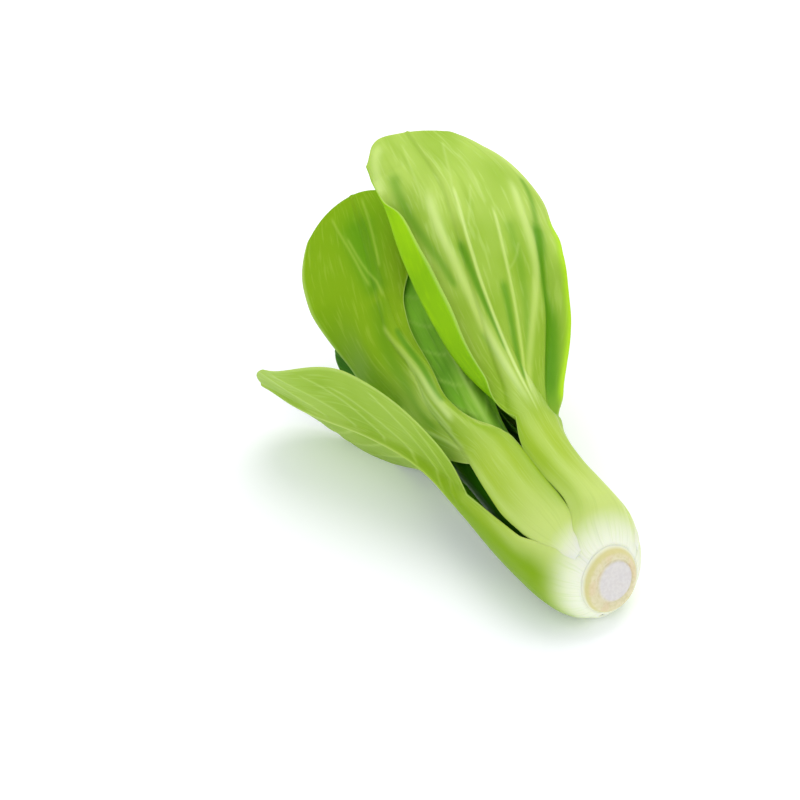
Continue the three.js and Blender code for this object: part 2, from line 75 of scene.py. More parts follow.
# the bulb's radius by distance from the cut, and where a leaf's path has a point on it
BULB = [[1, 14.4], [4, 19.4], [9, 24.6], [16, 27.8], [26, 29.3], [40, 29.4], [60, 28.6], [100, 28.6]]
BULB_STATIONS = [6, 12, 20, 32, 46]
SQUARE_UNTIL = 20.0  # a leaf's sections are square to the axis up to here,
FOLLOW_FROM = 75.0  # and to its own path from here
EDGE_THICKNESS = 1.5  # a stalk's margin
PROUD_FROM = 30.0  # the rib begins to stand out of the back here,
PROUD_PAST = 10.0  # and does so fully this far past the blade's foot,
PROUD_SHARE = 0.8  # by this share of its thickness
RIB_ROUNDING = 0.8  # the rib's section falls off to its sides by this power
WAVE_REACH = 2.2  # the waves grow towards the margins by this power,
WAVE_LAG = 1.9  # and the left ones run ahead by this phase

# ---- What the fine skins add ----
SECTION_STEPS = 56  # steps along a section, from its middle to a margin
TABLE_STEP = 0.5  # spacing of the tables along a leaf,
TABLE_PAST = 1.3  # which run past its tip to this multiple of its length
PATH_SAMPLES = 60  # points of a leaf's path between two of its knots
STRIP_STEPS = np.linspace(-0.3, 1.3, 321)  # a strip's width is tabled at these t,
STRIP_ROOT = [-0.2, 1]  # and is whole on the stalk
CROWN_STEPS = np.linspace(-0.2, 1.2, 281)  # a tip's reach is tabled at these u,
COLUMN_STEPS = np.linspace(-1, 1, 401)  # and the columns' places at these
# how far the corners of each kind of table are rounded, in its own steps
SOFT = {"facing": 8, "stalk": 3, "depth": 3, "cup": 8, "fold": 8, "strip": 5, "crown": 7, "columns": 6,
        "line": 1.5, "profile": 0.8}
STALK_SHARE = 0.36  # share of a skin's rows that lie on its stalk
BASE_CROWDING = 1.15  # the rows stand closer together towards the root
BLANK_WALL = 0.1  # a blank's thickness, before it is shaped
LEAF_THICKNESS = 0.55  # a real blade between its veins
STALK_EDGE = 0.75  # a stalk's margin, as a share of the solid's
RIM_THICKNESS = 0.3  # a blade's very margin
SEAL = [[0, 0.3], [50, 0.3], [80, 0]]  # a stalk's margins reach this far past its solid
PATH_START = 2.0  # the outermost stalks start here,
ROOT_REACH = 4.0  # and those that start higher reach this far back to the root
MARGIN_ROUND = 3.2  # a stalk's margin is rounded over this width,
MARGIN_DROP = 0.8  # and drops this far
TUCK_WIDTH = 7.0  # the outermost stalks bend onto their neighbours over this width
LINE_STEPS = 4  # steps of a line for each of its points
LINE_FADE = 0.1  # a line fades over this share of it at either end,
LINE_MARGIN = 3.5  # and is felt as far as this many half widths
SWELL_SPREAD = 2.6  # a blade swells over this many half widths of a vein
GROOVE_SHARE = 0.8  # depth of a groove, as a share of a vein's height
FRONT_SHARE = 0.3  # relief of the front, as a share of the back's
FURROW_RATE = 9  # the furrows are waves of this many radians to a leaf's greatest half width,
FURROW_WAVES = (1.0, 1.7, 2.6, 3.9)  # and of these multiples of it
FURROW_SEED = 100  # the furrows' random draws begin from this and the leaf's number
FAN_WIDTH = 20.0  # the streaks' own scale across a leaf, from its middle to a margin
BACK_APART = 8.0  # moves the patterns of the two faces apart,
LEAF_APART = 20  # and those of the leaves
# where changes begin and end: in mm from the cut, in mm from the foot of the blade, and by u
FROM_CUT = {"rows": (0, 10), "rim": (40, 80), "furrow": (12, 40), "deep": (0, 26)}
FROM_FOOT = {"blade": (-12, 12), "margin": (-25, 10), "ridge": (-20, 20), "vein": (-20, 30),
             "furrow": (20, 70), "rib": (-34, 0), "rib_blade": (0, 95)}
ACROSS = {"relief": (0, 0.12), "rim": (0.94, 1), "edge": (0.93, 1), "rib": (0.6, 1.15)}
# strength, half widths and (t, u) points of a midrib, and the veins that branch from it
MIDRIB = (0.9, 1.9, 0.6, [(-0.3, 0), (0, 0), (0.5, 0), (0.97, 0)])
SIDE_VEIN = (0.5, 1.3, 0.7)
SIDE_VEIN_FIRST = (-0.08, 0.05)  # t of the first, and how much it varies
SIDE_VEIN_LAST = 0.72  # none begins past this t
SIDE_VEIN_GAP = (0.13, 0.18)  # in t, from one to the next
SIDE_VEIN_RISE = (1.1, 1.4)  # how far along the blade they run, by their way across it
SIDE_VEIN_REACH = (0.93, 0.2)  # u at their ends, and how much less at most
SIDE_VEIN_CURVE = (1.3, 0.9)  # powers by which t and u grow along them
SIDE_VEIN_STEPS = np.linspace(0.02, 1, 7)
SIDES = ((-1, "left"), (1, "right"))


def along(knots, x):
    """Value at x on straight runs between [x, value] knots."""
    return np.interp(x, [k[0] for k in knots], [k[1] for k in knots])


def bulb_path(turn, inset, start):
    """A path's points up the bulb at one turn, from its start, inside the bulb's radius by the inset."""
    stations = [start] + [y for y in BULB_STATIONS if y >= start + 2]
    return [[y, along(BULB, y) - inset, turn] for y in stations]


# ---- The leaves, in millimetres, as in the part ----
# A path's points are [distance from the cut, distance from the stem's axis, turn about it in degrees], and
# the back faces the turns of "facing", evenly along it. "stalk" is [distance, left and right half width],
# "depth" the thickness at the rib, "cup" the curve across, and "waves" their height, count and phase. A blade
# is "half" wide at the share "widest", "flare" is how late it widens and "taper" how much it narrows. "crown"
# is its tip's reach by u, and "strip" is where the margin's strip begins, and its width by t. A fold is its
# side, the shares of the half width where it begins and ends, its degrees, and its strength by distance.
DEPTH_OUTER = [[0, 1.6], [6, 6.4], [30, 7.0], [60, 5.6], [95, 4.2], [140, 2.6], [240, 1.2]]
DEPTH_MIDDLE = [[0, 1.6], [8, 5.5], [30, 6.0], [60, 5.0], [95, 3.8], [140, 2.4], [240, 1.2]]
DEPTH_INNER = [[0, 3.0], [30, 4.0], [60, 3.6], [100, 2.4], [180, 1.2]]
CUP_OUTER = [[0, 1 / 15.5], [6.4, 1 / 20.5], [14, 1 / 25], [34, 1 / 29], [70, 1 / 26], [100, 1 / 50],
  [140, 1 / 125], [260, 1 / 160]]
CUP_MIDDLE = [[0, 1 / 13], [30, 1 / 15.5], [70, 1 / 22], [100, 1 / 50], [140, 1 / 125], [260, 1 / 160]]
CUP_UNDER = [[0, 1 / 13], [24, 1 / 15.5], [62, 1 / 22], [92, 1 / 28], [132, 1 / 33], [260, 1 / 50]]
CUP_INNER = [[0, 1 / 17], [30, 1 / 19], [70, 1 / 18], [100, 1 / 50], [140, 1 / 100]]
CUP_HEART = [[0, 1 / 12], [40, 1 / 10], [80, 1 / 16], [140, 1 / 25]]
OUTER_FORM = {"cup": CUP_OUTER, "depth": DEPTH_OUTER}
INNER_FORM = {"cup": CUP_INNER, "depth": DEPTH_INNER}
HEART_FORM = {"cup": CUP_HEART, "depth": DEPTH_INNER}


def plain_blade(left, left_flare, right, right_flare):
    return {"left": {"half": left, "widest": 0.6, "flare": left_flare},
            "right": {"half": right, "widest": 0.6, "flare": right_flare}}


LEAVES = [{
  "name": "leaf_01",  # on top: its left margin is rolled over its back
  "path": [*bulb_path(72, 0, 2), [61, 30, 70], [79, 32, 65], [108, 37.6, 57], [144, 51.4, 52],
    [169, 63.6, 51], [198, 77.8, 52], [215, 82.5, 54], [222, 84.2, 55], [229, 85.9, 56]],
  "facing": [72, 72, 72, 72, 72, 72, 75, 80, 84, 92, 100, 104, 107, 104, 100, 98],
  "foot": 80,
  "stalk": [[0, 16.2, 16], [3, 19.4, 19.6], [6, 21, 20.5], [12.5, 23, 20.8], [21, 18.8, 19.4],
    [33, 15.4, 15.8], [50, 14.9, 15], [64, 14.9, 13.4], [71, 14.2, 13.2], [75, 13.4, 14.8], [80, 12.2, 16],
    [81, 11.8, 11], [100, 7, 8], [140, 4, 4], [250, 1.2, 1.2]],
  "blade": {
    "left": {
      "half": 47.5, "widest": 0.7, "flare": 0.95, "taper": 0.2,
      "crown": [[0, 1], [0.13, 1.03], [0.26, 1.06], [0.38, 1.07], [0.5, 1.03], [0.6, 0.94], [0.7, 0.86],
        [1, 0.81]],
      "strip": (0.7, [[0, 0.2], [0.1, 0.4], [0.21, 0.62], [0.38, 0.8], [0.52, 0.76], [0.67, 0.55],
        [0.76, 0.35], [0.82, 0.1], [1, 0]]),
    },
    "right": {
      "half": 55.5, "widest": 0.52, "flare": 1.2, "taper": 0.75,
      "crown": [[0, 1], [0.2, 0.97], [0.4, 0.93], [0.6, 0.88], [0.8, 0.82], [1, 0.72]],
      "strip": (0.7, [[0, 1], [0.05, 1.5], [0.1, 1.25], [0.24, 1.04], [0.38, 0.74], [0.55, 0.72],
        [0.67, 0.96], [0.75, 1.06], [1, 1.12]]),
    },
  },
  **OUTER_FORM,
  "folds": [
    (-1, 0.6, 0.7, -165, [[84, 0], [104, 1], [210, 1], [226, 0.5], [236, 0.3]]),
    (1, 0.52, 0.64, 55, [[80, 0.3], [98, 1], [170, 1], [200, 0.5], [236, 0.4]]),
    (1, 0.68, 0.8, -90, [[80, 0.3], [98, 1], [165, 1], [190, 0]]),
  ],
  "waves": (1.2, 2, 0.4),
  # columns stand closer together across the rolled margin and the fold beside the other margin
  "columns": [-1, -0.9, -0.8, -0.7, -0.667, -0.633, -0.6, -0.5, -0.38, -0.26, -0.13, 0, 0.12, 0.25, 0.38,
    0.5, 0.56, 0.62, 0.7, 0.78, 0.88, 1],
}, {
  "name": "leaf_02",  # at the left, leaning out
  "path": [*bulb_path(195, 0, 2), [81, 26.8, 193], [106, 28.5, 192], [140, 37, 200], [175, 51, 204],
    [205, 60, 204]],
  "facing": [195, 195, 195, 195, 195, 195, 197, 200, 200, 206, 212, 214],
  "foot": 76,
  "stalk": [[0, 16, 17.8], [3, 19.6, 20.4], [12.5, 24.8, 26.2], [17, 23.4, 24.4], [26, 20, 22],
    [36, 18, 18.6], [50, 17, 16.2], [76, 10, 10], [100, 6, 6], [140, 4, 4], [250, 1.2, 1.2]],
  "blade": plain_blade(39.5, 2, 40, 1.2),
  **OUTER_FORM,
  "waves": (2.4, 2, 4.1),
}, {
  "name": "leaf_03",  # at the right, leaning out
  "path": [*bulb_path(322, 0, 2), [80, 29, 335], [106, 31.5, 336], [140, 40, 334], [175, 53, 331],
    [202, 61, 330]],
  "facing": [322, 322, 322, 322, 322, 322, 330, 336, 338, 336, 333, 331],
  "foot": 80,
  "stalk": [[0, 14.2, 18], [3, 16.1, 21.8], [6, 18.7, 22], [10, 22, 21.2], [12.5, 22, 20.4], [22, 19.4, 17.6],
    [36, 17, 14.6], [50, 16, 14], [68, 13, 13], [80, 9, 9], [100, 6, 6], [140, 4, 4], [250, 1.2, 1.2]],
  "blade": plain_blade(40, 1.3, 32, 1.3),
  **OUTER_FORM,
  "waves": (2.4, 2, 1.1),
}, {
  "name": "leaf_04",  # between 1 and 2, reaching up behind leaf 1
  "path": [*bulb_path(131, 0.4, 9), [80, 25.1, 124], [114, 22, 125], [132, 20.5, 116], [162, 20, 107],
    [194, 25.5, 78], [222, 35, 63], [241, 42, 59]],
  "facing": [131, 131, 131, 131, 131, 130, 128, 124, 122, 121, 121, 121],
  "foot": 70,
  "stalk": [[0, 2, 2], [6.6, 5.2, 6], [12, 8, 10], [17, 9.8, 12.6], [25, 12.6, 14.4], [40, 14.1, 15.4],
    [58, 12.6, 15.3], [67, 11.4, 14.6], [74, 10.4, 9.5], [80, 9.5, 5.5], [92, 8, 3.6], [130, 4, 4],
    [250, 1.2, 1.2]],
  "blade": {
    "left": {"half": 39, "widest": 0.78, "flare": 0.84, "taper": 0.35},
    "right": {
      "half": 32, "widest": 0.75, "flare": 1.6,
      "strip": (0, [[0, 1], [0.06, 0.44], [0.12, 0.26], [0.2, 0.18], [0.3, 0.2], [0.4, 0.26], [0.5, 0.33],
        [0.6, 0.34], [0.68, 0.52], [0.76, 0.85], [0.85, 1]]),
    },
  },
  "cup": [[0, 1 / 14], [14, 1 / 17.5], [30, 1 / 19.5], [70, 1 / 23], [100, 1 / 50], [140, 1 / 125],
    [260, 1 / 160]],
  "depth": DEPTH_MIDDLE,
  "folds": [
    (1, 0.6, 0.9, 30, [[8, 0], [20, 1], [66, 1], [84, 0]]),
    (-1, 0.3, 0.6, 35, [[92, 0], [118, 1], [160, 1], [190, 0]]),
  ],
  "waves": (2, 2, 2.4),
}, {
  "name": "leaf_05",  # underneath: the bulb bears on its stalk
  "path": [*bulb_path(266, 0.4, 9), [80, 27, 272], [106, 29, 275], [140, 34, 274], [170, 38.5, 272],
    [192, 41, 270]],
  "facing": [266, 266, 266, 266, 266, 270, 270, 270, 270, 270],
  "foot": 72,
  "stalk": [[0, 1.2, 1.2], [6.6, 4, 4], [12, 8, 8], [25, 11, 11.5], [40, 12, 12], [58, 11, 11], [72, 9, 9],
    [92, 6, 6], [132, 4, 4], [250, 1.2, 1.2]],
  "blade": plain_blade(24, 2, 27, 1.6),
  "cup": CUP_UNDER, "depth": DEPTH_MIDDLE,
  "waves": (0.8, 2, 3.4),
}, {
  "name": "leaf_06",  # between 1 and 3
  "path": [*bulb_path(18, 0.8, 9), [80, 24, 16], [108, 27, 10], [140, 36, 6], [172, 46, 5], [196, 52, 5]],
  "facing": [18, 18, 18, 18, 18, 8, -2, -10, -14, -16],
  "foot": 72,
  "stalk": [[0, 1, 1.2], [6.6, 1.2, 3.6], [12, 3.4, 6], [25, 8.2, 9], [40, 9.5, 9.5], [58, 9, 9], [72, 8, 8],
    [92, 6, 6], [132, 4, 4], [250, 1.2, 1.2]],
  "blade": plain_blade(32, 1.6, 26, 1.2),
  "cup": CUP_MIDDLE, "depth": DEPTH_MIDDLE,
  "waves": (1.5, 2, 5),
}]


def inner_leaf(name, root, path, facing, foot, stalk, blade, waves, form):
    """A leaf inside the head. It follows the bulb from its root, which is its turn, inset and start."""
    return {"name": name, "path": [*bulb_path(*root), *path], "facing": [root[0]] * 4 + facing,
            "foot": foot, "stalk": [*stalk, [180, 1.5, 1.5]], "blade": plain_blade(*blade),
            "waves": waves, **form}


LEAVES += [
  # inside leaf 2
  inner_leaf("leaf_07", (182, 8.4, 16), [[80, 16, 190], [115, 13, 204], [150, 14, 212], [180, 18, 213],
    [196, 21, 213]],
    facing=[172, 166, 164, 164, 164], foot=72, stalk=[[0, 8, 8], [30, 10, 10], [72, 8, 8], [100, 5, 5]],
    blade=(18, 1.3, 13, 1.3), waves=(1.2, 1.5, 0), form=INNER_FORM),
  # inside leaf 3
  inner_leaf("leaf_08", (318, 8.4, 16), [[80, 18, 316], [112, 18.5, 313], [142, 24, 313],
    [170, 32, 313], [184, 35.5, 313]],
    facing=[316, 314, 312, 310, 310], foot=68, stalk=[[0, 8, 8], [30, 10, 10], [68, 8, 8], [100, 5, 5]],
    blade=(20, 1.3, 17, 1.3), waves=(1.2, 1.5, 2), form=INNER_FORM),
  # under leaves 1 and 4
  inner_leaf("leaf_09", (98, 8.4, 16), [[75, 19.6, 107], [100, 21.2, 93], [130, 25, 76], [160, 30, 64],
    [187, 36, 53], [204, 41, 49]],
    facing=[108, 111, 112, 112, 112, 112], foot=62, stalk=[[0, 8, 8], [30, 10, 10], [62, 8, 7], [100, 5, 5]],
    blade=(28, 1, 17, 2.2), waves=(1.2, 1.5, 4), form=INNER_FORM),
  # inside leaves 2 and 5
  inner_leaf("leaf_10", (250, 8.4, 16), [[70, 14, 254], [95, 10, 262], [130, 10, 268], [156, 14, 268]],
    facing=[254, 260, 262, 262], foot=58, stalk=[[0, 8, 8], [30, 10, 10], [58, 7, 7], [100, 4, 4]],
    blade=(10, 1.3, 10, 1.3), waves=(0.8, 1.5, 1), form=INNER_FORM),
  # inside leaf 6
  inner_leaf("leaf_11", (28, 8.4, 16), [[75, 16, 22], [108, 14, 14], [134, 15, 8], [150, 18, 6]],
    facing=[18, 6, 2, 0], foot=58, stalk=[[0, 8, 8], [30, 9.5, 9.5], [58, 7, 7], [100, 4, 4]],
    blade=(10, 1.3, 9, 1.3), waves=(0.8, 1.5, 3), form=INNER_FORM),
  # the heart's upper leaf
  inner_leaf("leaf_12", (140, 15, 18), [[60, 9, 140], [80, 6, 125], [104, 4.5, 100], [124, 5, 90],
    [136, 6, 90]],
    facing=[135, 125, 115, 110, 110], foot=50, stalk=[[0, 4.5, 4.5], [30, 6, 6], [50, 5, 5], [100, 2.5, 2.5]],
    blade=(7, 1.3, 7, 1.3), waves=(0.4, 1.5, 1), form=HEART_FORM),
  # the heart's lower leaf
  inner_leaf("leaf_13", (300, 15, 18), [[60, 8, 300], [80, 4.5, 300], [98, 3, 300], [114, 3, 300]],
    facing=[300] * 4, foot=46, stalk=[[0, 4.5, 4.5], [30, 5.5, 5.5], [46, 4.5, 4.5], [100, 2.5, 2.5]],
    blade=(5, 1.3, 5, 1.3), waves=(0.4, 1.5, 2), form=HEART_FORM),
]
OUTER_LEAVES = 6
# fine grids, in rows along a leaf and columns across it
OUTER_GRIDS = [(250, 170), (190, 120), (190, 120), (290, 140), (170, 90), (170, 90)]
INNER_GRID = (120, 56)

# ---- Lines and tones that are only in the skins ----
# Pale veins, dark grooves painted darker with the shade in and beside them, and margins with a painted glow
# where light comes through. Each line is its strength, its half widths in mm at both ends, and its points: t
# along the leaf and u across it, in thousandths.
LINES = {
  "leaf_01": {
    "vein": [
      (0.8, 2, 3, [(-90, -60), (62, -75), (130, -55), (210, -65), (275, -90), (347, -110), (435, -115),
        (519, -150), (571, -160), (635, -195), (747, -215), (832, -165)]),
      (1, 1, 0.8, [(-60, 30), (90, 55), (182, 65), (335, 50), (471, 35), (607, 35), (739, 60), (804, 75)]),
      (0.9, 1, 0.8, [(10, 90), (122, 190), (210, 255), (295, 270), (391, 285), (551, 305), (635, 335),
        (723, 355)]),
      (0.7, 1.8, 2.8, [(-40, 90), (70, 180), (194, 345), (323, 440), (443, 535), (507, 555), (607, 570),
        (719, 605), (836, 705)]),
      (0.35, 0.9, 0.9, [(643, 70), (699, 135), (792, 255)]),
      (0.35, 0.9, 0.9, [(487, 305), (519, 395), (575, 465)]),
      (0.35, 0.9, 0.9, [(772, 50), (856, 140), (952, 310)]),
      (0.35, 0.9, 0.9, [(723, -295), (844, -245), (976, -145)]),
      (0.35, 0.9, 0.9, [(707, 310), (792, 305), (900, 340)]),
      (0.7, 3, 3, [(884, -645), (928, -615), (964, -570), (980, -400)]),
    ],
    # dark grooves with painted shade beside the midrib, in the valley by the right margin and beside the
    # rolled left margin
    "groove": [
      (0.85, 1.2, 2.6, [(200, 45), (275, 40), (347, 20), (407, 5), (475, -10), (539, -25), (640, -60)]),
      (0.75, 1.2, 2.4, [(94, 130), (194, 185), (279, 200), (363, 220), (480, 230)]),
      (0.45, 1.6, 4, [(150, 310), (250, 360), (400, 400), (550, 420), (680, 450)]),
      (0.55, 1, 1.8, [(54, -110), (110, -80), (190, -80), (259, -120), (315, -160)]),
      (1, 6, 4.5, [(-50, 800), (20, 800), (142, 785), (311, 750), (387, 670), (479, 640), (591, 725),
        (683, 775)]),
      (0.6, 4, 2, [(560, 690), (640, 750), (720, 800), (788, 850), (860, 900)]),
      (0.6, 2, 4.5, [(443, -220), (539, -275), (647, -375), (743, -465), (844, -485), (904, -405)]),
    ],
    # a painted glow along the right margin, where light comes through it
    "lit": [
      (0.8, 2.4, 3.2, [(20, 1000), (250, 1000), (500, 1000), (750, 1000)]),
    ],
  },
  "leaf_04": {
    "vein": [
      (0.7, 2.2, 1.2, [(102, -100), (202, -15), (319, -70), (435, -40), (551, -100)]),
      (0.6, 1.1, 1, [(86, -300), (186, -165), (295, -170), (419, -40)]),
      (0.6, 1.1, 1, [(18, -510), (118, -290), (242, -205), (379, -140)]),
      (0.6, 1.2, 1, [(34, -585), (114, -540), (202, -625), (299, -635)]),
      (0.5, 1, 0.9, [(659, -95), (824, -240), (984, -430)]),
      (0.5, 1, 0.9, [(711, 150), (840, 125), (988, 185)]),
      (0.5, 1, 0.9, [(607, 135), (735, -110), (884, -255)]),
    ],
    # dark grooves; the two broader bands are painted shade
    "groove": [
      (0.8, 2, 1.6, [(170, 135), (287, 240), (407, 270), (511, 245)]),
      (0.5, 1.5, 7, [(120, -480), (240, -400), (320, -340), (440, -220), (540, -100), (640, -40)]),
      (0.7, 7, 12, [(640, -40), (720, -60), (820, -80), (920, -90)]),
    ],
  },
}
# how far the left and the right margin of a stalk reach under its neighbours, in mm by distance
UNDER = {
  "leaf_02": (SEAL, [[0, 0.3], [5, 1.2], [26, 1.2], [36, 0]]),
  "leaf_04": ([[0, 0.9], [20, 0.8], [28, 0]], [[0, 0.9], [3, 1.6], [8, 2.4], [50, 2.6], [64, 0]]),
  "leaf_05": ([[0, 2.6], [2, 3.6], [8, 5], [30, 5], [50, 0]],
    [[0, 3.4], [3, 3.8], [8, 4.4], [30, 3.6], [50, 0]]),
  "leaf_06": ([[0, 0.8], [3, 1.6], [7, 3.6], [25, 4.2], [48, 0]],
    [[0, 1.6], [4, 2.8], [8, 3.6], [25, 3.4], [50, 0]]),
}


def even_bend(most, full=20):
    """A bend that grows from the root to its most, and fades past the bulb."""
    return [[0, 0], [full, most], [60, most], [80, 0]]


# how far the left and the right margin of a stalk bend in onto its neighbours, in mm by distance
TUCKS = {
  "leaf_01": ([[0, 0], [8, 0.2], [14, 0.8], [24, 1.7], [48, 1.8], [62, 0.8], [80, 0]],
    even_bend(0.8)),
  "leaf_02": (even_bend(0.6), even_bend(0.4, 24)),
  "leaf_03": (even_bend(0.6), even_bend(0.6)),
}
# how deep a green the flesh is, across the stalk by u and along the blade by distance. It is partly the
# leaves' own tone and partly painted shade: the sides of the stalks of leaves 1, 2 and 4 that face away from
# the light are painted deeper, leaf 4's blade deeper as it lies in shade, and leaf 1's blade paler towards
# its top as it lies in the light. Leaf 9 is painted pale where leaf 1 shades it.
DEEP_AND_SHADE = {
  "leaf_01": ([[-1, 0.3], [-0.7, 0.42], [-0.4, 0.2], [-0.1, 0], [1, 0]],
    [[70, 0.9], [110, 0.8], [140, 0.6], [170, 0.45], [200, 0.15], [230, 0.05], [245, 0.3]]),
  "leaf_02": ([[-1, 1], [0.4, 1], [0.75, 0.45], [1, 0.1]], [[70, 0.8], [120, 0.5], [220, 0.4]]),
  "leaf_04": ([[-1, 0.4], [-0.6, 0], [-0.3, 0], [0.1, 0], [0.4, 0.25], [1, 0.8]],
    [[90, 0.1], [110, 0.3], [125, 0.6], [150, 0.9], [185, 1], [240, 1]]),
  "leaf_09": ([[-1, 0.5], [0, 0], [0.5, 0.5], [1, 1]], [[60, 0], [130, 0.1], [200, 0.5]]),
}
DEEP_OUTSIDE = ([[-1, 0.6], [0, 0.2], [1, 0.6]], [[70, 0.85], [200, 0.7]])
# the inner leaves are painted deep all over, for the shade inside the head
SHADE_INSIDE = ([[-1, 1], [1, 1]], [[50, 1], [180, 0.8]])


# ---- Small sums ----
def smooth(x, low, high):
    t = np.clip((x - low) / (high - low), 0.0, 1.0)
    return t * t * (3 - 2 * t)


def mix(a, b, t):
    return a + (b - a) * t


def unit(v):
    return v / np.linalg.norm(v, axis=-1, keepdims=True)


def axis_height(y):
    return AXIS_HEIGHT + AXIS_RISE * y


def softened(values, reach):
    """A table with its corners rounded over a reach given in table steps, its ends held."""
    count = math.ceil(3 * reach)
    weights = np.exp(-0.5 * (np.arange(-count, count + 1) / reach) ** 2)
    before = 2 * values[0] - values[count:0:-1]
    after = 2 * values[-1] - values[-2:-count - 2:-1]
    return np.convolve(np.concatenate([before, values, after]), weights / weights.sum(), "valid")


def settled(points):
    """Points with the knife cut's lean and the flats that the head bears on, moved to the frame's place."""
    height = points[..., 2] - axis_height(points[..., 1])
    moved = points.copy()
    moved[..., 1] += CUT_SLANT * height * (1 - smooth(points[..., 1], 0, SLANT_FADE))
    moved[..., 2] = np.maximum(moved[..., 2], 0.0)
    moved[..., :2] += CENTRE_SHIFT
    return moved


def centripetal(points, samples):
    """Points and directions of a smooth curve through the given points, and the share along it."""
    p = np.vstack([2 * points[0] - points[1], points, 2 * points[-1] - points[-2]])
    spans = len(points) - 1
    share = np.linspace(0, 1, spans * samples + 1)
    index = np.minimum((share * spans).astype(int), spans - 1)
    x = (share * spans - index)[:, None]
    a, b, c, d = p[index], p[index + 1], p[index + 2], p[index + 3]
    ab, bc, cd = (np.linalg.norm(e, axis=1, keepdims=True) ** 0.5 for e in (b - a, c - b, d - c))
    start = ((b - a) / ab - (c - a) / (ab + bc) + (c - b) / bc) * bc
    end = ((c - b) / bc - (d - b) / (bc + cd) + (d - c) / cd) * bc
    square, cube = -3 * b + 3 * c - 2 * start - end, 2 * b - 2 * c + start + end
    place = b + start * x + square * x ** 2 + cube * x ** 3
    return place, unit(start + 2 * square * x + 3 * cube * x ** 2), share


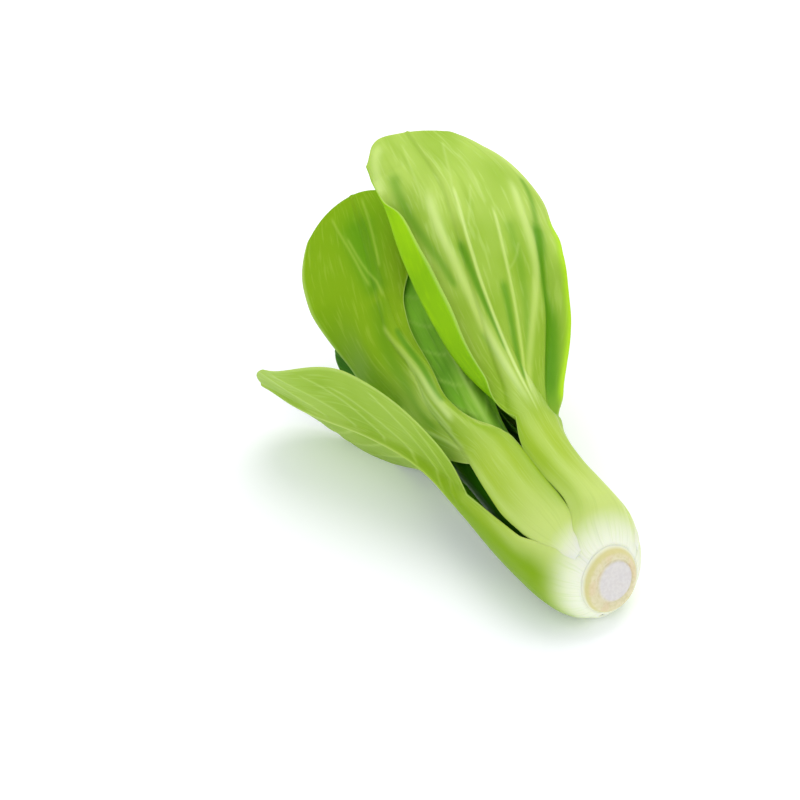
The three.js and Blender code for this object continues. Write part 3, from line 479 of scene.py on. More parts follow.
# ---- One leaf as a surface ----
class Leaf:
    """One leaf's form, from the same values as its two solids."""

    def __init__(self, spec):
        self.spec = spec
        rows, facing = spec["path"], spec["facing"]
        y, r, turn = rows[0]
        starts_higher = y > PATH_START
        if starts_higher:
            root = y - ROOT_REACH
            rows = [[root, r + along(BULB, root) - along(BULB, y), turn], *rows]
            facing = [facing[0], *facing]
        path = np.array([
            [r * math.cos(math.radians(turn)), y, axis_height(y) + r * math.sin(math.radians(turn))]
            for y, r, turn in rows])
        place, heading, share = centripetal(path, PATH_SAMPLES)
        reach = np.concatenate([[0], np.cumsum(np.linalg.norm(np.diff(place, axis=0), axis=1))])
        self.root = reach[PATH_SAMPLES] if starts_higher else 0.0
        reach = reach - self.root
        self.length = reach[-1]
        self.start = spec["foot"]
        self.blade_length = self.length - self.start
        first = -TABLE_STEP * math.ceil(self.root / TABLE_STEP)
        self.distances = np.arange(first, self.length * TABLE_PAST, TABLE_STEP)
        origin, tangent = (np.stack([np.interp(self.distances, reach, v[:, k]) for k in range(3)], 1)
                           for v in (place, heading))
        tangent = unit(tangent)
        beyond = (self.distances - np.clip(self.distances, reach[0], self.length))[:, None]
        self.origin = origin + tangent * beyond
        follow = smooth(self.distances, SQUARE_UNTIL, FOLLOW_FROM)[:, None]
        forward = unit(mix(np.array([0.0, 1.0, 0.0]), tangent, follow))
        turn = np.interp(np.interp(self.distances, reach, share), np.linspace(0, 1, len(facing)), facing)
        turn = np.radians(softened(turn, SOFT["facing"]))
        out = np.stack([np.cos(turn), 0 * turn, np.sin(turn)], 1)
        self.out = unit(out - forward * (out * forward).sum(1, keepdims=True))
        self.right = np.cross(forward, self.out)
        self.rib = {side: self.table([[row[0], row[column]] for row in spec["stalk"]], "stalk")
                    for side, column in ((-1, 1), (1, 2))}
        self.cup = self.table(spec["cup"], "cup")
        self.depth = self.table(spec["depth"], "depth")
        self.folds = [(*fold[:4], self.table(fold[4], "fold")) for fold in spec.get("folds", [])]

    def table(self, knots, kind):
        return softened(along(knots, self.distances), SOFT[kind])

    def read(self, table, distance):
        return np.interp(distance, self.distances, table)

    def rib_width(self, distance, u):
        return np.where(u < 0, self.read(self.rib[-1], distance), self.read(self.rib[1], distance))

    def place(self, t, u):
        """Distance along the leaf, signed distance across it and half width, for t from -1 to 0 on the stalk
        and from 0 to 1 on the blade, and u from -1 to 1 across."""
        distance, across, total = np.empty((3, len(t)))
        for side, name in SIDES:
            shape = self.spec["blade"][name]
            half, widest = shape["half"], shape["widest"]
            on = (u < 0) if side < 0 else (u >= 0)
            tt, uu = t[on], np.abs(u[on])
            share = uu
            if "strip" in shape:
                first, widths = shape["strip"]
                width = softened(along([STRIP_ROOT, *widths], STRIP_STEPS), SOFT["strip"])
                share = np.minimum(uu, first) + np.maximum(uu - first, 0) * np.interp(tt, STRIP_STEPS, width)
            # the stalk and the blade up to where it is widest
            d = np.where(tt < 0, (1 + tt) ** BASE_CROWDING * self.start, self.start + tt * self.blade_length)
            grown = 1 - (1 - (np.clip(tt, 0, widest) / widest) ** shape["flare"]) ** 2
            foot = self.read(self.rib[side], self.start)
            wide = np.where(tt < 0, self.read(self.rib[side], d), mix(foot, half, grown))
            # and from there to its tip
            b = np.clip((tt - widest) / (1 - widest), 0, 1)
            tip = np.sqrt(1 - uu ** 2 / 2)
            if "crown" in shape:
                crown = softened(along(shape["crown"], np.abs(CROWN_STEPS)), SOFT["crown"])
                tip = np.interp(uu, CROWN_STEPS, crown)
            high = tt >= widest
            d = np.where(high, self.start + (widest + (1 - widest) * b * tip) * self.blade_length, d)
            wide = np.where(high, half * (1 - b * b / 2) ** shape.get("taper", 0.5), wide)
            distance[on], across[on], total[on] = d, side * share * wide, wide
        return distance, across, total

    def turning(self, distance, side, w, total):
        """How far a section has turned in at w from its middle."""
        angle = w * self.read(self.cup, distance)
        for fold_side, low, high, degrees, strength in self.folds:
            bend = math.radians(degrees) * self.read(strength, distance)
            angle = angle + np.where(side == fold_side, bend * smooth(w / total, low, high), 0)
        return angle

    def surface(self, distance, across, total, u):
        """Points of the back and the way it faces."""
        side = np.where(u < 0, -1, 1)
        width = np.abs(across)
        step = width / SECTION_STEPS
        over, inward = np.zeros((2, len(width)))
        for i in range(SECTION_STEPS):
            angle = self.turning(distance, side, (i + 0.5) * step, total)
            over += np.cos(angle) * step
            inward += np.sin(angle) * step
        angle = self.turning(distance, side, width, total)
        origin, out, right = (np.stack([self.read(v[:, k], distance) for k in range(3)], -1)
                              for v in (self.origin, self.out, self.right))
        point = origin + right * (side * over)[:, None] - out * inward[:, None]
        normal = out * np.cos(angle)[:, None] + right * (side * np.sin(angle))[:, None]
        return point, unit(normal)

    def wave(self, distance, u):
        t = np.clip((distance - self.start) / self.blade_length, 0, 1)
        height, count, phase = self.spec["waves"]
        swing = np.sin(2 * np.pi * count * t + phase + np.where(u < 0, WAVE_LAG, 0))
        return height * swing * np.abs(u) ** WAVE_REACH * np.sqrt(np.sin(np.pi * t))

    def past_foot(self, distance, change):
        low, high = FROM_FOOT[change]
        return smooth(distance, self.start + low, self.start + high)


# ---- Veins, as lines on the flattened blade ----
def leaf_lines(leaf, number):
    """The drawn lines of a leaf, or a midrib and veins that branch from it towards the margins."""
    drawn = LINES.get(leaf.spec["name"])
    if drawn:
        return {kind: [(*line, np.array(points) / 1000) for *line, points in lines]
                for kind, lines in drawn.items()}
    draw = np.random.default_rng(number)
    veins = [MIDRIB]
    for side, name in SIDES:
        half = leaf.spec["blade"][name]["half"]
        start = SIDE_VEIN_FIRST[0] + SIDE_VEIN_FIRST[1] * draw.random()
        while start < SIDE_VEIN_LAST:
            rise = half / leaf.blade_length * draw.uniform(*SIDE_VEIN_RISE)
            reach = SIDE_VEIN_REACH[0] - SIDE_VEIN_REACH[1] * draw.random() ** 2
            points = [(start + rise * k ** SIDE_VEIN_CURVE[0], side * reach * k ** SIDE_VEIN_CURVE[1])
                      for k in SIDE_VEIN_STEPS]
            veins.append((*SIDE_VEIN, points))
            start += draw.uniform(*SIDE_VEIN_GAP)
    return {"vein": veins}


def nearness(leaf, lines, distance, across, spread=1.0):
    """How close each point lies to any of some lines: a line's strength on it, fading over its half width and
    towards its ends."""
    near = np.zeros_like(distance)
    for power, start, end, points in lines:
        knots, fine = (np.linspace(0, 1, count) for count in (len(points), LINE_STEPS * len(points)))
        t, u = (softened(np.interp(fine, knots, v), SOFT["line"]) for v in np.array(points, float).T)
        d, w, _ = leaf.place(np.clip(t, -1, 1), np.clip(u, -1, 1))
        width = np.linspace(start, end, len(d)) * spread
        margin = LINE_MARGIN * width.max()
        for i in range(len(d) - 1):
            on = ((distance > min(d[i], d[i + 1]) - margin) & (distance < max(d[i], d[i + 1]) + margin)
                  & (across > min(w[i], w[i + 1]) - margin) & (across < max(w[i], w[i + 1]) + margin))
            pd, pw = distance[on] - d[i], across[on] - w[i]
            vd, vw = d[i + 1] - d[i], w[i + 1] - w[i]
            share = np.clip((pd * vd + pw * vw) / max(vd * vd + vw * vw, 1e-9), 0, 1)
            away = np.hypot(pd - share * vd, pw - share * vw) / mix(width[i], width[i + 1], share)
            way = (i + share) / (len(d) - 1)
            fade = smooth(way, 0, LINE_FADE) * (1 - smooth(way, 1 - LINE_FADE, 1))
            near[on] = np.maximum(near[on], power * fade * np.exp(-away ** 2))
    return near


# ---- Meshes ----
def only(ob):
    """Leaves one object selected and active, and nothing else."""
    for other in bpy.context.view_layer.objects:
        other.select_set(False)
    if ob is not None:
        ob.select_set(True)
        bpy.context.view_layer.objects.active = ob


def leaf_blank(name, rows, columns):
    """A flat sheet of two faces joined round its margin, 2 by 2, as the start of a leaf."""
    only(None)
    bpy.ops.mesh.primitive_grid_add(x_subdivisions=columns, y_subdivisions=rows, size=2)
    ob = bpy.context.object
    ob.name = ob.data.name = name
    only(ob)
    wall = ob.modifiers.new("two faces", "SOLIDIFY")
    wall.thickness = BLANK_WALL
    wall.offset = -1
    bpy.ops.object.modifier_apply(modifier=wall.name)
    return ob


def note(mesh, name, values):
    """Writes a number or a vector at each point, for a material to follow."""
    kind, slot = ("FLOAT", "value") if values.ndim == 1 else ("FLOAT_VECTOR", "vector")
    made = mesh.attributes.new(name, kind, "POINT")
    made.data.foreach_set(slot, values.astype(np.float32).ravel())


def finish_mesh(mesh):
    mesh.polygons.foreach_set("use_smooth", np.ones(len(mesh.polygons), bool))
    mesh.update()


def by_side(u, pair, distance):
    """Reads the left or the right one of two tables, by the side that each point is on."""
    return np.where(u < 0, along(pair[0], distance), along(pair[1], distance))


def blank_places(mesh, leaf):
    """Whether each point of a blank is on the back, its t and u, and what Leaf.place gives for them."""
    flat = np.empty(len(mesh.vertices) * 3)
    mesh.vertices.foreach_get("co", flat)
    u, s, height = flat.reshape(-1, 3).T
    s = (s + 1) / 2
    t = np.where(s < STALK_SHARE, s / STALK_SHARE - 1, (s - STALK_SHARE) / (1 - STALK_SHARE))
    columns = leaf.spec.get("columns")
    if columns:
        places = np.interp(COLUMN_STEPS, np.linspace(-1, 1, len(columns)), columns)
        u = np.interp(u, COLUMN_STEPS, softened(places, SOFT["columns"]))
    u = np.clip(u, -1, 1)
    distance, across, total = leaf.place(t, u)
    wider = 1 + by_side(u, UNDER.get(leaf.spec["name"], (SEAL, SEAL)), distance) / total
    distance = distance - leaf.root * (1 - smooth(distance, *FROM_CUT["rows"]))
    return height > -BLANK_WALL / 2, t, u, distance, across * wider, total * wider


def furrow_ripples(leaf, number, distance, u, total):
    """Furrows that run up a stalk, different on each leaf, between -1 and 1."""
    draw = np.random.default_rng(FURROW_SEED + number)
    waves = sum(
        draw.uniform(0.5, 1) * np.sin(k * u * total.clip(1) / total.max() * FURROW_RATE + draw.uniform(0, 6))
        for k in FURROW_WAVES)
    waves = waves / len(FURROW_WAVES) * smooth(distance, *FROM_CUT["furrow"])
    return waves * (1 - leaf.past_foot(distance, "furrow"))


def leaf_tones(leaf, number, t, u, distance, x):
    """How far each point has the stalk's colours, and how deep its green is, partly as painted shade."""
    on_stalk = 1 - leaf.past_foot(distance, "rib") * smooth(np.abs(u), *ACROSS["rib"])
    on_blade = (1 - smooth(x, *ACROSS["rib"])) * (1 - leaf.past_foot(distance, "rib_blade"))
    rib = np.where(t < 0, on_stalk, on_blade)
    plain_deep = DEEP_OUTSIDE if number < OUTER_LEAVES else SHADE_INSIDE
    across_stalk, along_blade = DEEP_AND_SHADE.get(leaf.spec["name"], plain_deep)
    across_stalk = along(across_stalk, u) * smooth(distance, *FROM_CUT["deep"])
    return rib, mix(along(along_blade, distance), across_stalk, rib)


def shape_leaf(mesh, leaf, number, values):
    """Moves a blank's points onto the leaf, and notes on each what its colour follows."""
    name = leaf.spec["name"]
    back, t, u, distance, across, total = blank_places(mesh, leaf)
    point, normal = leaf.surface(distance, across, total, u)
    thickness, vein_height, quilting, furrows = (
        getattr(values, key) / MM for key in ("thickness", "vein_height", "quilting", "furrows"))

    # thick at the rib, thin towards the margins
    on_blade = leaf.past_foot(distance, "blade")
    x = np.minimum(np.abs(across) / leaf.rib_width(distance, u), 1)
    thin = mix(EDGE_THICKNESS * STALK_EDGE, thickness, on_blade)
    rim = smooth(np.abs(u), *ACROSS["rim"]) * smooth(distance, *FROM_CUT["rim"])
    thin = mix(thin, np.minimum(thin, RIM_THICKNESS), rim)
    extra = np.maximum(leaf.read(leaf.depth, distance) - thin, 0) * (1 - x * x) ** RIB_ROUNDING
    proud = PROUD_SHARE * smooth(distance, PROUD_FROM, leaf.start + PROUD_PAST)

    # veins stand out, grooves lie deeper, and the panels between the veins are hollow
    lines = leaf_lines(leaf, number)
    vein, groove, lit = (
        nearness(leaf, lines.get(kind, []), distance, across) for kind in ("vein", "groove", "lit"))
    swell = nearness(leaf, lines["vein"], distance, across, SWELL_SPREAD)
    inside = smooth(1 - np.abs(u), *ACROSS["relief"])
    lift = leaf.wave(distance, u) + quilting * (swell - 0.5) * on_blade * inside
    ridge = vein_height * (vein - GROOVE_SHARE * groove) * leaf.past_foot(distance, "ridge")

    # a stalk's margins are rounded off, and the outermost stalks lie onto the next ones
    from_margin = np.maximum(total - np.abs(across), 0)
    fallen = 1 - np.sqrt(1 - np.clip(1 - from_margin / MARGIN_ROUND, 0, 1) ** 2)
    drop = MARGIN_DROP * (1 - leaf.past_foot(distance, "margin")) * fallen
    if name in TUCKS:
        lift = lift - by_side(u, TUCKS[name], distance) * smooth(-from_margin, -TUCK_WIDTH, 0)

    furrow = furrow_ripples(leaf, number, distance, u, total) * inside
    outer = lift + extra * proud + ridge - drop + furrows * furrow
    inner = lift - thin - extra * (1 - proud) + FRONT_SHARE * ridge
    place = settled(point + normal * np.where(back, outer, inner)[:, None])
    mesh.vertices.foreach_set("co", (place * MM).ravel())

    rib, deep = leaf_tones(leaf, number, t, u, distance, x)
    from_foot = leaf.past_foot(distance, "vein")
    run = distance + leaf.spec["path"][0][0] - PATH_START
    apart = BACK_APART * back + LEAF_APART * number
    notes = {
        "vein": vein * from_foot, "groove": groove * from_foot, "lit": lit, "deep": deep, "rib": rib,
        "run": run, "back": back, "edge": smooth(np.abs(u), *ACROSS["edge"]), "furrow": 0.5 + 0.5 * furrow,
        "fan": np.stack([across / total * FAN_WIDTH, distance, apart], 1) * MM,
        "sheet": np.stack([across, distance, apart], 1) * MM}
    for key, noted in notes.items():
        note(mesh, key, noted)
    for layer in list(mesh.uv_layers):
        mesh.uv_layers.remove(layer)
    finish_mesh(mesh)


# ---- Materials ----
def linear(colour):
    """An sRGB hex colour as linear red, green, blue and alpha."""
    parts = [int(colour[i:i + 2], 16) / 255 for i in (1, 3, 5)]
    return [p / 12.92 if p <= 0.04045 else ((p + 0.055) / 1.055) ** 2.4 for p in parts] + [1.0]


def add(tree, kind, settings=(), **sockets):
    """Adds a node, sets its properties, and sets or links its inputs, named or as i and a number. A tuple of
    a node and an output's name or number is linked, and anything else is set."""
    node = tree.nodes.new(kind)
    for key, value in dict(settings).items():
        setattr(node, key, value)
    for key, value in sockets.items():
        name = key.replace("_", " ")
        socket = node.inputs[int(name[1:])] if name[1:].isdigit() else node.inputs[name]
        if isinstance(value, tuple) and isinstance(value[0], bpy.types.Node):
            tree.links.new(value[0].outputs[value[1]], socket)
        else:
            socket.default_value = value
    return node


def new_material(name):
    material = bpy.data.materials.new(name)
    material.use_nodes = True
    material.node_tree.nodes.clear()
    return material, material.node_tree


def layered(tree, colour, layers):
    """Lays colours over a first one. Each layer is the share it follows, its colour, the share where it
    begins and where it is full, and how much of it there is at most."""
    for share, over, low, high, most in layers:
        eased = add(tree, "ShaderNodeMapRange", {"interpolation_type": "SMOOTHSTEP"}, Value=share,
                    From_Min=low, From_Max=high, To_Max=most)
        mixed = add(tree, "ShaderNodeMix", {"data_type": "RGBA"}, i0=(eased, "Result"), i6=colour, i7=over)
        colour = (mixed, 2)
    return colour


def leaf_material(name, tones, chosen):
    """Fresh leaf: a thin waxy skin over wet green flesh. Light passes some way through it, its veins are
    paler than the flesh, and its stalk fades to white where it grew in the shade of the others."""
    material, tree = new_material(name)
    hue = {key: linear(value) for key, value in tones.items()}
    hue.update({key: [*value, 1.0] for key, value in chosen.items()})
    back, run, rib, deep, vein, groove, lit, furrow, edge = (
        (add(tree, "ShaderNodeAttribute", {"attribute_name": key}), "Fac")
        for key in ("back", "run", "rib", "deep", "vein", "groove", "lit", "furrow", "edge"))
    sheet, fan = (
        (add(tree, "ShaderNodeAttribute", {"attribute_name": key}), "Vector") for key in ("sheet", "fan"))
    # slow changes of tone 30 mm apart, long streaks that run with the veins, and veins too small to be drawn
    long = (add(tree, "ShaderNodeVectorMath", {"operation": "MULTIPLY"}, i0=fan, i1=(1.0, 0.045, 1.0)), 0)
    cloud, streak, fine = (
        (add(tree, "ShaderNodeTexNoise", {}, Vector=place, Scale=1 / (apart * MM), Detail=detail), "Fac")
        for place, apart, detail in ((sheet, 30, 1), (long, 1.7, 2), (long, 0.7, 1)))

    flesh = layered(tree, hue["front"], [(back, hue["back"], 0, 1, 1)])
    full = layered(tree, hue["front_deep"], [(back, hue["back_deep"], 0, 1, 1)])
    line = layered(tree, hue["vein"], [(deep, hue["vein_deep"], 0, 1, 1)])
    faint = layered(tree, hue["lit"], [(back, line, 0, 1, 1)])
    # the layers over run are in mm from the root
    stalk = layered(tree, hue["white"], [
        (run, hue["pale"], 0, 19, 1),
        (run, hue["stalk"], 15, 60, 1),
        (run, hue["stalk_far"], 62, 92, 1),
        (furrow, hue["furrow"], 0.3, 0.8, 0.35),
        (streak, hue["stalk_deep"], 0.5, 0.85, 0.18),
        (fine, hue["furrow"], 0.5, 0.75, 0.25),
        # deeper green on the stalk, partly painted shade on the sides turned from the light
        (deep, hue["stalk_deep"], 0, 1, 1),
    ])
    colour = layered(tree, flesh, [
        (cloud, full, 0.3, 0.8, 0.6),
        (streak, full, 0.5, 0.8, 0.3),
        # deeper green on the blade, partly painted shade, and paler as painted light where it is less deep
        (deep, full, 0, 1, 1),
        (fine, faint, 0.52, 0.72, 0.22),
        (edge, hue["vein"], 0, 1, 0.3),
        (rib, stalk, 0, 1, 1),
        # grooves, painted darker with the shade in and beside them
        (groove, hue["groove"], 0, 1, 0.9),
        (vein, line, 0, 1, 0.8),
        # a painted glow where light comes through a margin
        (lit, hue["lit"], 0, 1, 1),
    ])
    roughness = add(tree, "ShaderNodeMapRange", {}, Value=rib, To_Min=0.5, To_Max=0.35)
    relief = add(tree, "ShaderNodeBump", {}, Strength=0.3, Distance=0.15 * MM, Height=streak)
    skin = add(tree, "ShaderNodeBsdfPrincipled", {}, Base_Color=colour, Roughness=(roughness, "Result"),
               IOR=1.42, Specular_IOR_Level=0.12, Subsurface_Weight=0.25, Subsurface_Radius=(0.8, 1.0, 0.25),
               Subsurface_Scale=2.2 * MM, Normal=(relief, 0))
    add(tree, "ShaderNodeOutputMaterial", {}, Surface=(skin, 0))
    return material


def stem_material(name, pith_colour, ring_colour):
    """Cut stem: moist cream fibres in a ring round paler spongy pith, browned a little where it has dried."""
    material, tree = new_material(name)
    radius, run = (
        (add(tree, "ShaderNodeAttribute", {"attribute_name": key}), "Fac") for key in ("radius", "run"))
    place = (add(tree, "ShaderNodeTexCoord", {}), "Object")
    grain, patch = (
        (add(tree, "ShaderNodeTexNoise", {}, Vector=place, Scale=1 / (apart * MM), Detail=detail), "Fac")
        for apart, detail in ((1.4, 4), (9, 1)))

    pith = layered(tree, [*pith_colour, 1.0], [(grain, linear("#dcd7d4"), 0.3, 0.7, 1)])
    ring = layered(tree, [*ring_colour, 1.0], [
        (grain, linear("#dcd4a6"), 0.35, 0.7, 1),
        (patch, linear("#e2c09c"), 0.45, 0.65, 0.3),
    ])
    # the layers over radius and run are in mm
    colour = layered(tree, pith, [
        (radius, ring, 8.2, 9.8, 1),
        (radius, linear("#d6d08e"), 12.4, 13.6, 0.8),
        (run, linear("#eef0d6"), 0.4, 2.0, 1),
    ])
    relief = add(tree, "ShaderNodeBump", {}, Strength=0.3, Distance=0.15 * MM, Height=grain)
    fibres = add(tree, "ShaderNodeBsdfPrincipled", {}, Base_Color=colour, Roughness=0.42, IOR=1.4,
                 Specular_IOR_Level=0.3, Subsurface_Weight=0.3, Subsurface_Radius=(1.0, 0.9, 0.6),
                 Subsurface_Scale=2.5 * MM, Normal=(relief, 0))
    add(tree, "ShaderNodeOutputMaterial", {}, Surface=(fibres, 0))
    return material


# ---- The cut stem ----
# [radius, distance from the cut]: domed pith, its groove, the stepped ring, then the crown under the leaves
STEM_PROFILE = [[0, -0.9], [4, -0.9], [7.6, -0.85], [8.8, -0.7], [9.2, -0.35], [9.6, -0.15], [10, -0.35],
  [10.5, -1], [11.3, -1.2], [12.4, -1.1], [13.2, -0.75], [13.7, -0.1], [13.9, 0.5], [14.4, 1.2], [15, 2],
  [15.9, 3], [17.3, 4], [18.5, 5], [19.3, 6], [20.1, 7.5], [20.2, 9], [19.4, 11], [17, 13.5], [13, 15.4],
  [7, 17], [0, 17.6]]
STEM_STEP = 0.45  # longest step along the profile
STEM_SIDES = 144
PITH_SHIFT = 2.2  # the pith lies to one side of the cut,
PITH_ACROSS = (7.0, 13.0)  # less from this radius on, and not at all past this one,
PITH_ALONG = (1, 5)  # and only near the cut
RING_ACROSS = (8.0, 10.5)  # the ring is uneven past these radii
RING_ALONG = (0.5, 5)  # and near the cut,
RING_OUT = 0.22  # this much outwards
RING_DEEP = 0.16  # and this much in depth,
RING_TURN = 20  # whose ripple is turned by this many sides
RING_WAVES = (2, 3, 5, 8)  # the ripple has these many waves round the cut,
RING_SEED = 7  # and begins its random draws from this


def stem_rows():
    """The profile in short steps, its corners rounded, without its two poles."""
    rows = [STEM_PROFILE[0]]
    for a, b in zip(STEM_PROFILE[:-1], STEM_PROFILE[1:]):
        count = max(1, int(math.dist(a, b) / STEM_STEP))
        rows += [mix(np.array(a), np.array(b), (k + 1) / count) for k in range(count)]
    return np.stack([softened(column, SOFT["profile"]) for column in np.array(rows).T], 1)[1:-1]


def make_stem(mesh):
    """Turns the profile about the stem's axis, then slants the cut as the knife left it."""
    rows = stem_rows()
    angle = np.arange(STEM_SIDES) * 2 * np.pi / STEM_SIDES
    draw = np.random.default_rng(RING_SEED)
    ripple = sum(draw.uniform(0.3, 1) / k * np.cos(k * angle + draw.uniform(0, 6)) for k in RING_WAVES)
    low, high = STEM_PROFILE[0][1], STEM_PROFILE[-1][1]
    points = [[PITH_SHIFT, low, 0.0, 0.0, low]]  # x, distance, height, and the radius and distance to note
    for r, y in rows:
        on_ring = smooth(r, *RING_ACROSS) * (1 - smooth(y, *RING_ALONG))
        wide = r + RING_OUT * ripple * on_ring
        deep = y + RING_DEEP * np.roll(ripple, RING_TURN) * on_ring
        aside = PITH_SHIFT * (1 - smooth(r, *PITH_ACROSS)) * (1 - smooth(y, *PITH_ALONG))
        points += np.stack([wide * np.cos(angle) + aside, deep, wide * np.sin(angle), np.full(STEM_SIDES, r),
                            np.full(STEM_SIDES, y)], 1).tolist()
    points = np.array([*points, [0.0, high, 0.0, 0.0, high]])
    place = points[:, :3].copy()
    place[:, 2] += axis_height(place[:, 1])

    def corner(i, j):
        return 1 + i * STEM_SIDES + j % STEM_SIDES

    faces = []
    last = len(rows) - 1
    for j in range(STEM_SIDES):
        faces.append((0, corner(0, j), corner(0, j + 1)))
        faces += [(corner(i, j), corner(i + 1, j), corner(i + 1, j + 1), corner(i, j + 1))
                  for i in range(last)]
        faces.append((len(points) - 1, corner(last, j + 1), corner(last, j)))
    mesh.from_pydata((settled(place) * MM).tolist(), [], faces)
    note(mesh, "radius", points[:, 3])
    note(mesh, "run", points[:, 4])
    finish_mesh(mesh)


# ---- Settings that a user would change ----
# the backs' pale tone holds a painted sheen of the light, and the deep tones also serve as painted shade
OUTER_TONES = {
  "back": "#b4ce62", "back_deep": "#80a60a", "front": "#9cd008", "front_deep": "#78ac08", "vein": "#d4e894",
  "vein_deep": "#b2cc50", "groove": "#528e02", "lit": "#a8d800", "white": "#f6f8e8", "pale": "#c8da7c",
  "stalk": "#a5c13a", "stalk_far": "#92b430", "stalk_deep": "#80a600", "furrow": "#c8de82",
}
# the inner leaves' deep tones are dark, as painted shade inside the head
INNER_TONES = {
  "back": "#88c430", "back_deep": "#2c6806", "front": "#5c9e14", "front_deep": "#1e5a04", "vein": "#a4c85c",
  "vein_deep": "#8cb840", "groove": "#2c6806", "lit": "#a8d800", "white": "#e8eec8", "pale": "#b4d06c",
  "stalk": "#8cba3c", "stalk_far": "#84b830", "stalk_deep": "#2c6806", "furrow": "#a8cc60",
}


def colour_setting(part, colour):
    return bpy.props.FloatVectorProperty(
        name=part.capitalize(), description=f"Colour of the {part}", subtype="COLOR", size=3, min=0.0,
        max=1.0, default=linear(colour)[:3])


def length_setting(name, description, length, longest):
    return bpy.props.FloatProperty(
        name=name, description=description, default=length * MM, min=0.0, max=longest * MM, precision=5,
        unit="LENGTH")


class HeadSettings(bpy.types.PropertyGroup):
    thickness: length_setting("Blade", "Thickness of a blade between its veins", LEAF_THICKNESS, 1.0)
    vein_height: length_setting("Veins", "How far the strong veins stand out of a blade's back", 0.32, 1.0)
    quilting: length_setting("Quilting", "Depth of the blade's panels between the strong veins", 0.5, 1.5)
    furrows: length_setting("Furrows", "Depth of the furrows that run up a stalk", 0.12, 0.5)
    outer_back: colour_setting("outer leaves' backs", OUTER_TONES["back"])
    outer_front: colour_setting("outer leaves' fronts", OUTER_TONES["front"])
    outer_vein: colour_setting("outer leaves' veins", OUTER_TONES["vein"])
    outer_stalk: colour_setting("outer leaves' stalks", OUTER_TONES["stalk"])
    outer_white: colour_setting("outer leaves' roots, beside the cut", OUTER_TONES["white"])
    inner_back: colour_setting("inner leaves' backs", INNER_TONES["back"])
    inner_front: colour_setting("inner leaves' fronts", INNER_TONES["front"])
    pith: colour_setting("spongy pith in the middle of the cut", "#e4e0dc")
    ring: colour_setting("ring of fibres round the pith", "#e6deba")


class StudioSettings(bpy.types.PropertyGroup):
    key: bpy.props.FloatProperty(
        name="Key light", description="Power of the large light overhead", default=7.5, min=0.0, unit="POWER")
    sky: bpy.props.FloatProperty(
        name="Surround", description="Strength of the even light from all round", default=0.8, min=0.0)
    paper: colour_setting("paper that the head lies on", "#fafbff")


# ---- Operators ----
def add_leaf(number, material, rows, columns, slot, values):
    spec = LEAVES[number]
    ob = leaf_blank(f"{spec['name']}_skin", rows, columns)
    shape_leaf(ob.data, Leaf(spec), number, values)
    ob.data.materials.append(material)
    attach(ob, "root")
    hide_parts(spec["name"] + "_stalk", spec["name"] + "_blade")


class HEAD_OT_stem(bpy.types.Operator):
    """Models the cut stem with its pith, ring and crown"""
    bl_idname = "head.stem"
    bl_label = "Cut stem"

    def execute(self, context):
        mesh = bpy.data.meshes.new("cut_stem")
        ob = bpy.data.objects.new("cut_stem", mesh)
        context.scene.collection.objects.link(ob)
        make_stem(mesh)
        values = context.scene.head_settings
        mesh.materials.append(stem_material("bok choy stem, knife cut", values.pith, values.ring))
        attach(ob, "root")
        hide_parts("stem_base")
        return {"FINISHED"}


class HEAD_OT_outer_leaves(bpy.types.Operator):
    """Models the big leaves that wrap the bulb"""
    bl_idname = "head.outer_leaves"
    bl_label = "Outer leaves"

    def execute(self, context):
        values = context.scene.head_settings
        material = leaf_material("bok choy leaf, outer, waxy", OUTER_TONES, {
            "back": values.outer_back, "front": values.outer_front, "vein": values.outer_vein,
            "stalk": values.outer_stalk, "white": values.outer_white})
        for number in range(OUTER_LEAVES):
            add_leaf(number, material, *OUTER_GRIDS[number], "outer_blade", values)
        return {"FINISHED"}


class HEAD_OT_inner_leaves(bpy.types.Operator):
    """Models the smaller leaves inside the head"""
    bl_idname = "head.inner_leaves"
    bl_label = "Inner leaves"

    def execute(self, context):
        values = context.scene.head_settings
        material = leaf_material("bok choy leaf, inner, waxy", INNER_TONES, {
            "back": values.inner_back, "front": values.inner_front})
        for number in range(OUTER_LEAVES, len(LEAVES)):
            add_leaf(number, material, *INNER_GRID, "inner_blade", values)
        return {"FINISHED"}


# ---- The studio, in metres where a light or the floor is placed ----
FLOOR_SIZE = 8
LIT_POINT = (0, 0, 0.05)  # the lights face this point
# each light's name, place, diameter, share of the key light's power, and colour
LIGHTS = (
    ("key_light", (0.45, 0.3, 1.1), 1.3, 1, "#fffaf2"),
    ("fill_light", (-0.9, -0.5, 0.7), 0.9, 0.25, "#f4f9ff"),
)
CAMERA_TURN = -34.0  # the camera looks along the head from its cut end, from the left,
CAMERA_HEIGHT = 36.0  # and down on it by this angle
CAMERA_AT = (-435.39, -581.66, 570.87)  # in millimetres
CAMERA_LENS = 85


def camera_place():
    e, a = math.radians(CAMERA_HEIGHT), math.radians(CAMERA_TURN)
    right = Vector((math.cos(a), math.sin(a), 0))
    up = Vector((-math.sin(a) * math.sin(e), math.cos(a) * math.sin(e), math.cos(e)))
    turned = Matrix((right, up, right.cross(up))).transposed().to_4x4()
    return Matrix.Translation(Vector(CAMERA_AT) * MM) @ turned


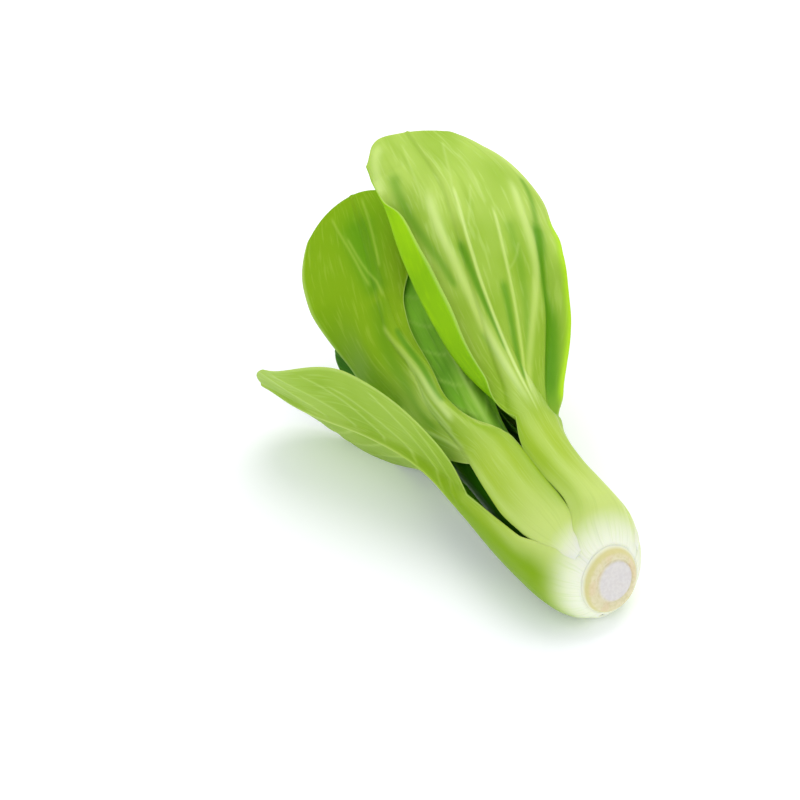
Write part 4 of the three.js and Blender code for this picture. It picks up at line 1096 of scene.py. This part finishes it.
class HEAD_OT_studio(bpy.types.Operator):
    """Sets the pale floor, the soft light and the camera"""
    bl_idname = "head.studio"
    bl_label = "Studio"

    def execute(self, context):
        values = context.scene.studio_settings
        only(None)
        bpy.ops.mesh.primitive_plane_add(size=FLOOR_SIZE)
        floor = context.object
        floor.name = floor.data.name = "studio_floor"
        material, tree = new_material("studio paper, white, matt")
        paper = add(tree, "ShaderNodeBsdfPrincipled", {}, Base_Color=[*values.paper, 1.0], Roughness=0.9,
                    Emission_Color=linear("#f0f4ff"), Emission_Strength=0.12)
        add(tree, "ShaderNodeOutputMaterial", {}, Surface=(paper, 0))
        floor.data.materials.append(material)
        world = bpy.data.worlds.new("studio_surround")
        world.use_nodes = True
        surround = world.node_tree.nodes["Background"].inputs
        surround["Color"].default_value = linear("#fbfdff")
        surround["Strength"].default_value = values.sky
        context.scene.world = world
        for name, place, size, power, colour in LIGHTS:
            light = bpy.data.lights.new(name, "AREA")
            light.shape = "DISK"
            light.size = size
            light.energy = values.key * power
            light.color = linear(colour)[:3]
            ob = bpy.data.objects.new(name, light)
            ob.location = place
            ob.rotation_euler = (Vector(LIT_POINT) - Vector(place)).to_track_quat("-Z", "Y").to_euler()
            context.scene.collection.objects.link(ob)
        camera = bpy.data.cameras.new("camera")
        camera.lens = CAMERA_LENS
        camera.sensor_width = 36
        camera.clip_start = 0.01
        ob = bpy.data.objects.new("camera", camera)
        ob.matrix_world = camera_place()
        context.scene.collection.objects.link(ob)
        context.scene.camera = ob
        context.scene.view_settings.view_transform = "Standard"
        return {"FINISHED"}


class HEAD_PT_panel(bpy.types.Panel):
    """Lists the settings, and the pieces and the studio to make"""
    bl_idname = "HEAD_PT_panel"
    bl_label = "Bok choy head"
    bl_space_type = "VIEW_3D"
    bl_region_type = "UI"
    bl_category = "Bok choy"

    def draw(self, context):
        for group in (context.scene.head_settings, context.scene.studio_settings):
            for name in group.__annotations__:
                self.layout.prop(group, name)
        for operator in OPERATORS:
            self.layout.operator(operator.bl_idname)


OPERATORS = (HEAD_OT_stem, HEAD_OT_outer_leaves, HEAD_OT_inner_leaves, HEAD_OT_studio)
CLASSES = (HeadSettings, StudioSettings, *OPERATORS, HEAD_PT_panel)


def register():
    for cls in CLASSES:
        bpy.utils.register_class(cls)
    bpy.types.Scene.head_settings = bpy.props.PointerProperty(type=HeadSettings)
    bpy.types.Scene.studio_settings = bpy.props.PointerProperty(type=StudioSettings)


def unregister():
    del bpy.types.Scene.head_settings
    del bpy.types.Scene.studio_settings
    for cls in reversed(CLASSES):
        bpy.utils.unregister_class(cls)


def main():
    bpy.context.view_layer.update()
    register()
    bpy.ops.head.stem()
    bpy.ops.head.outer_leaves()
    bpy.ops.head.inner_leaves()
    bpy.ops.head.studio()


if __name__ == "__main__":
    main()
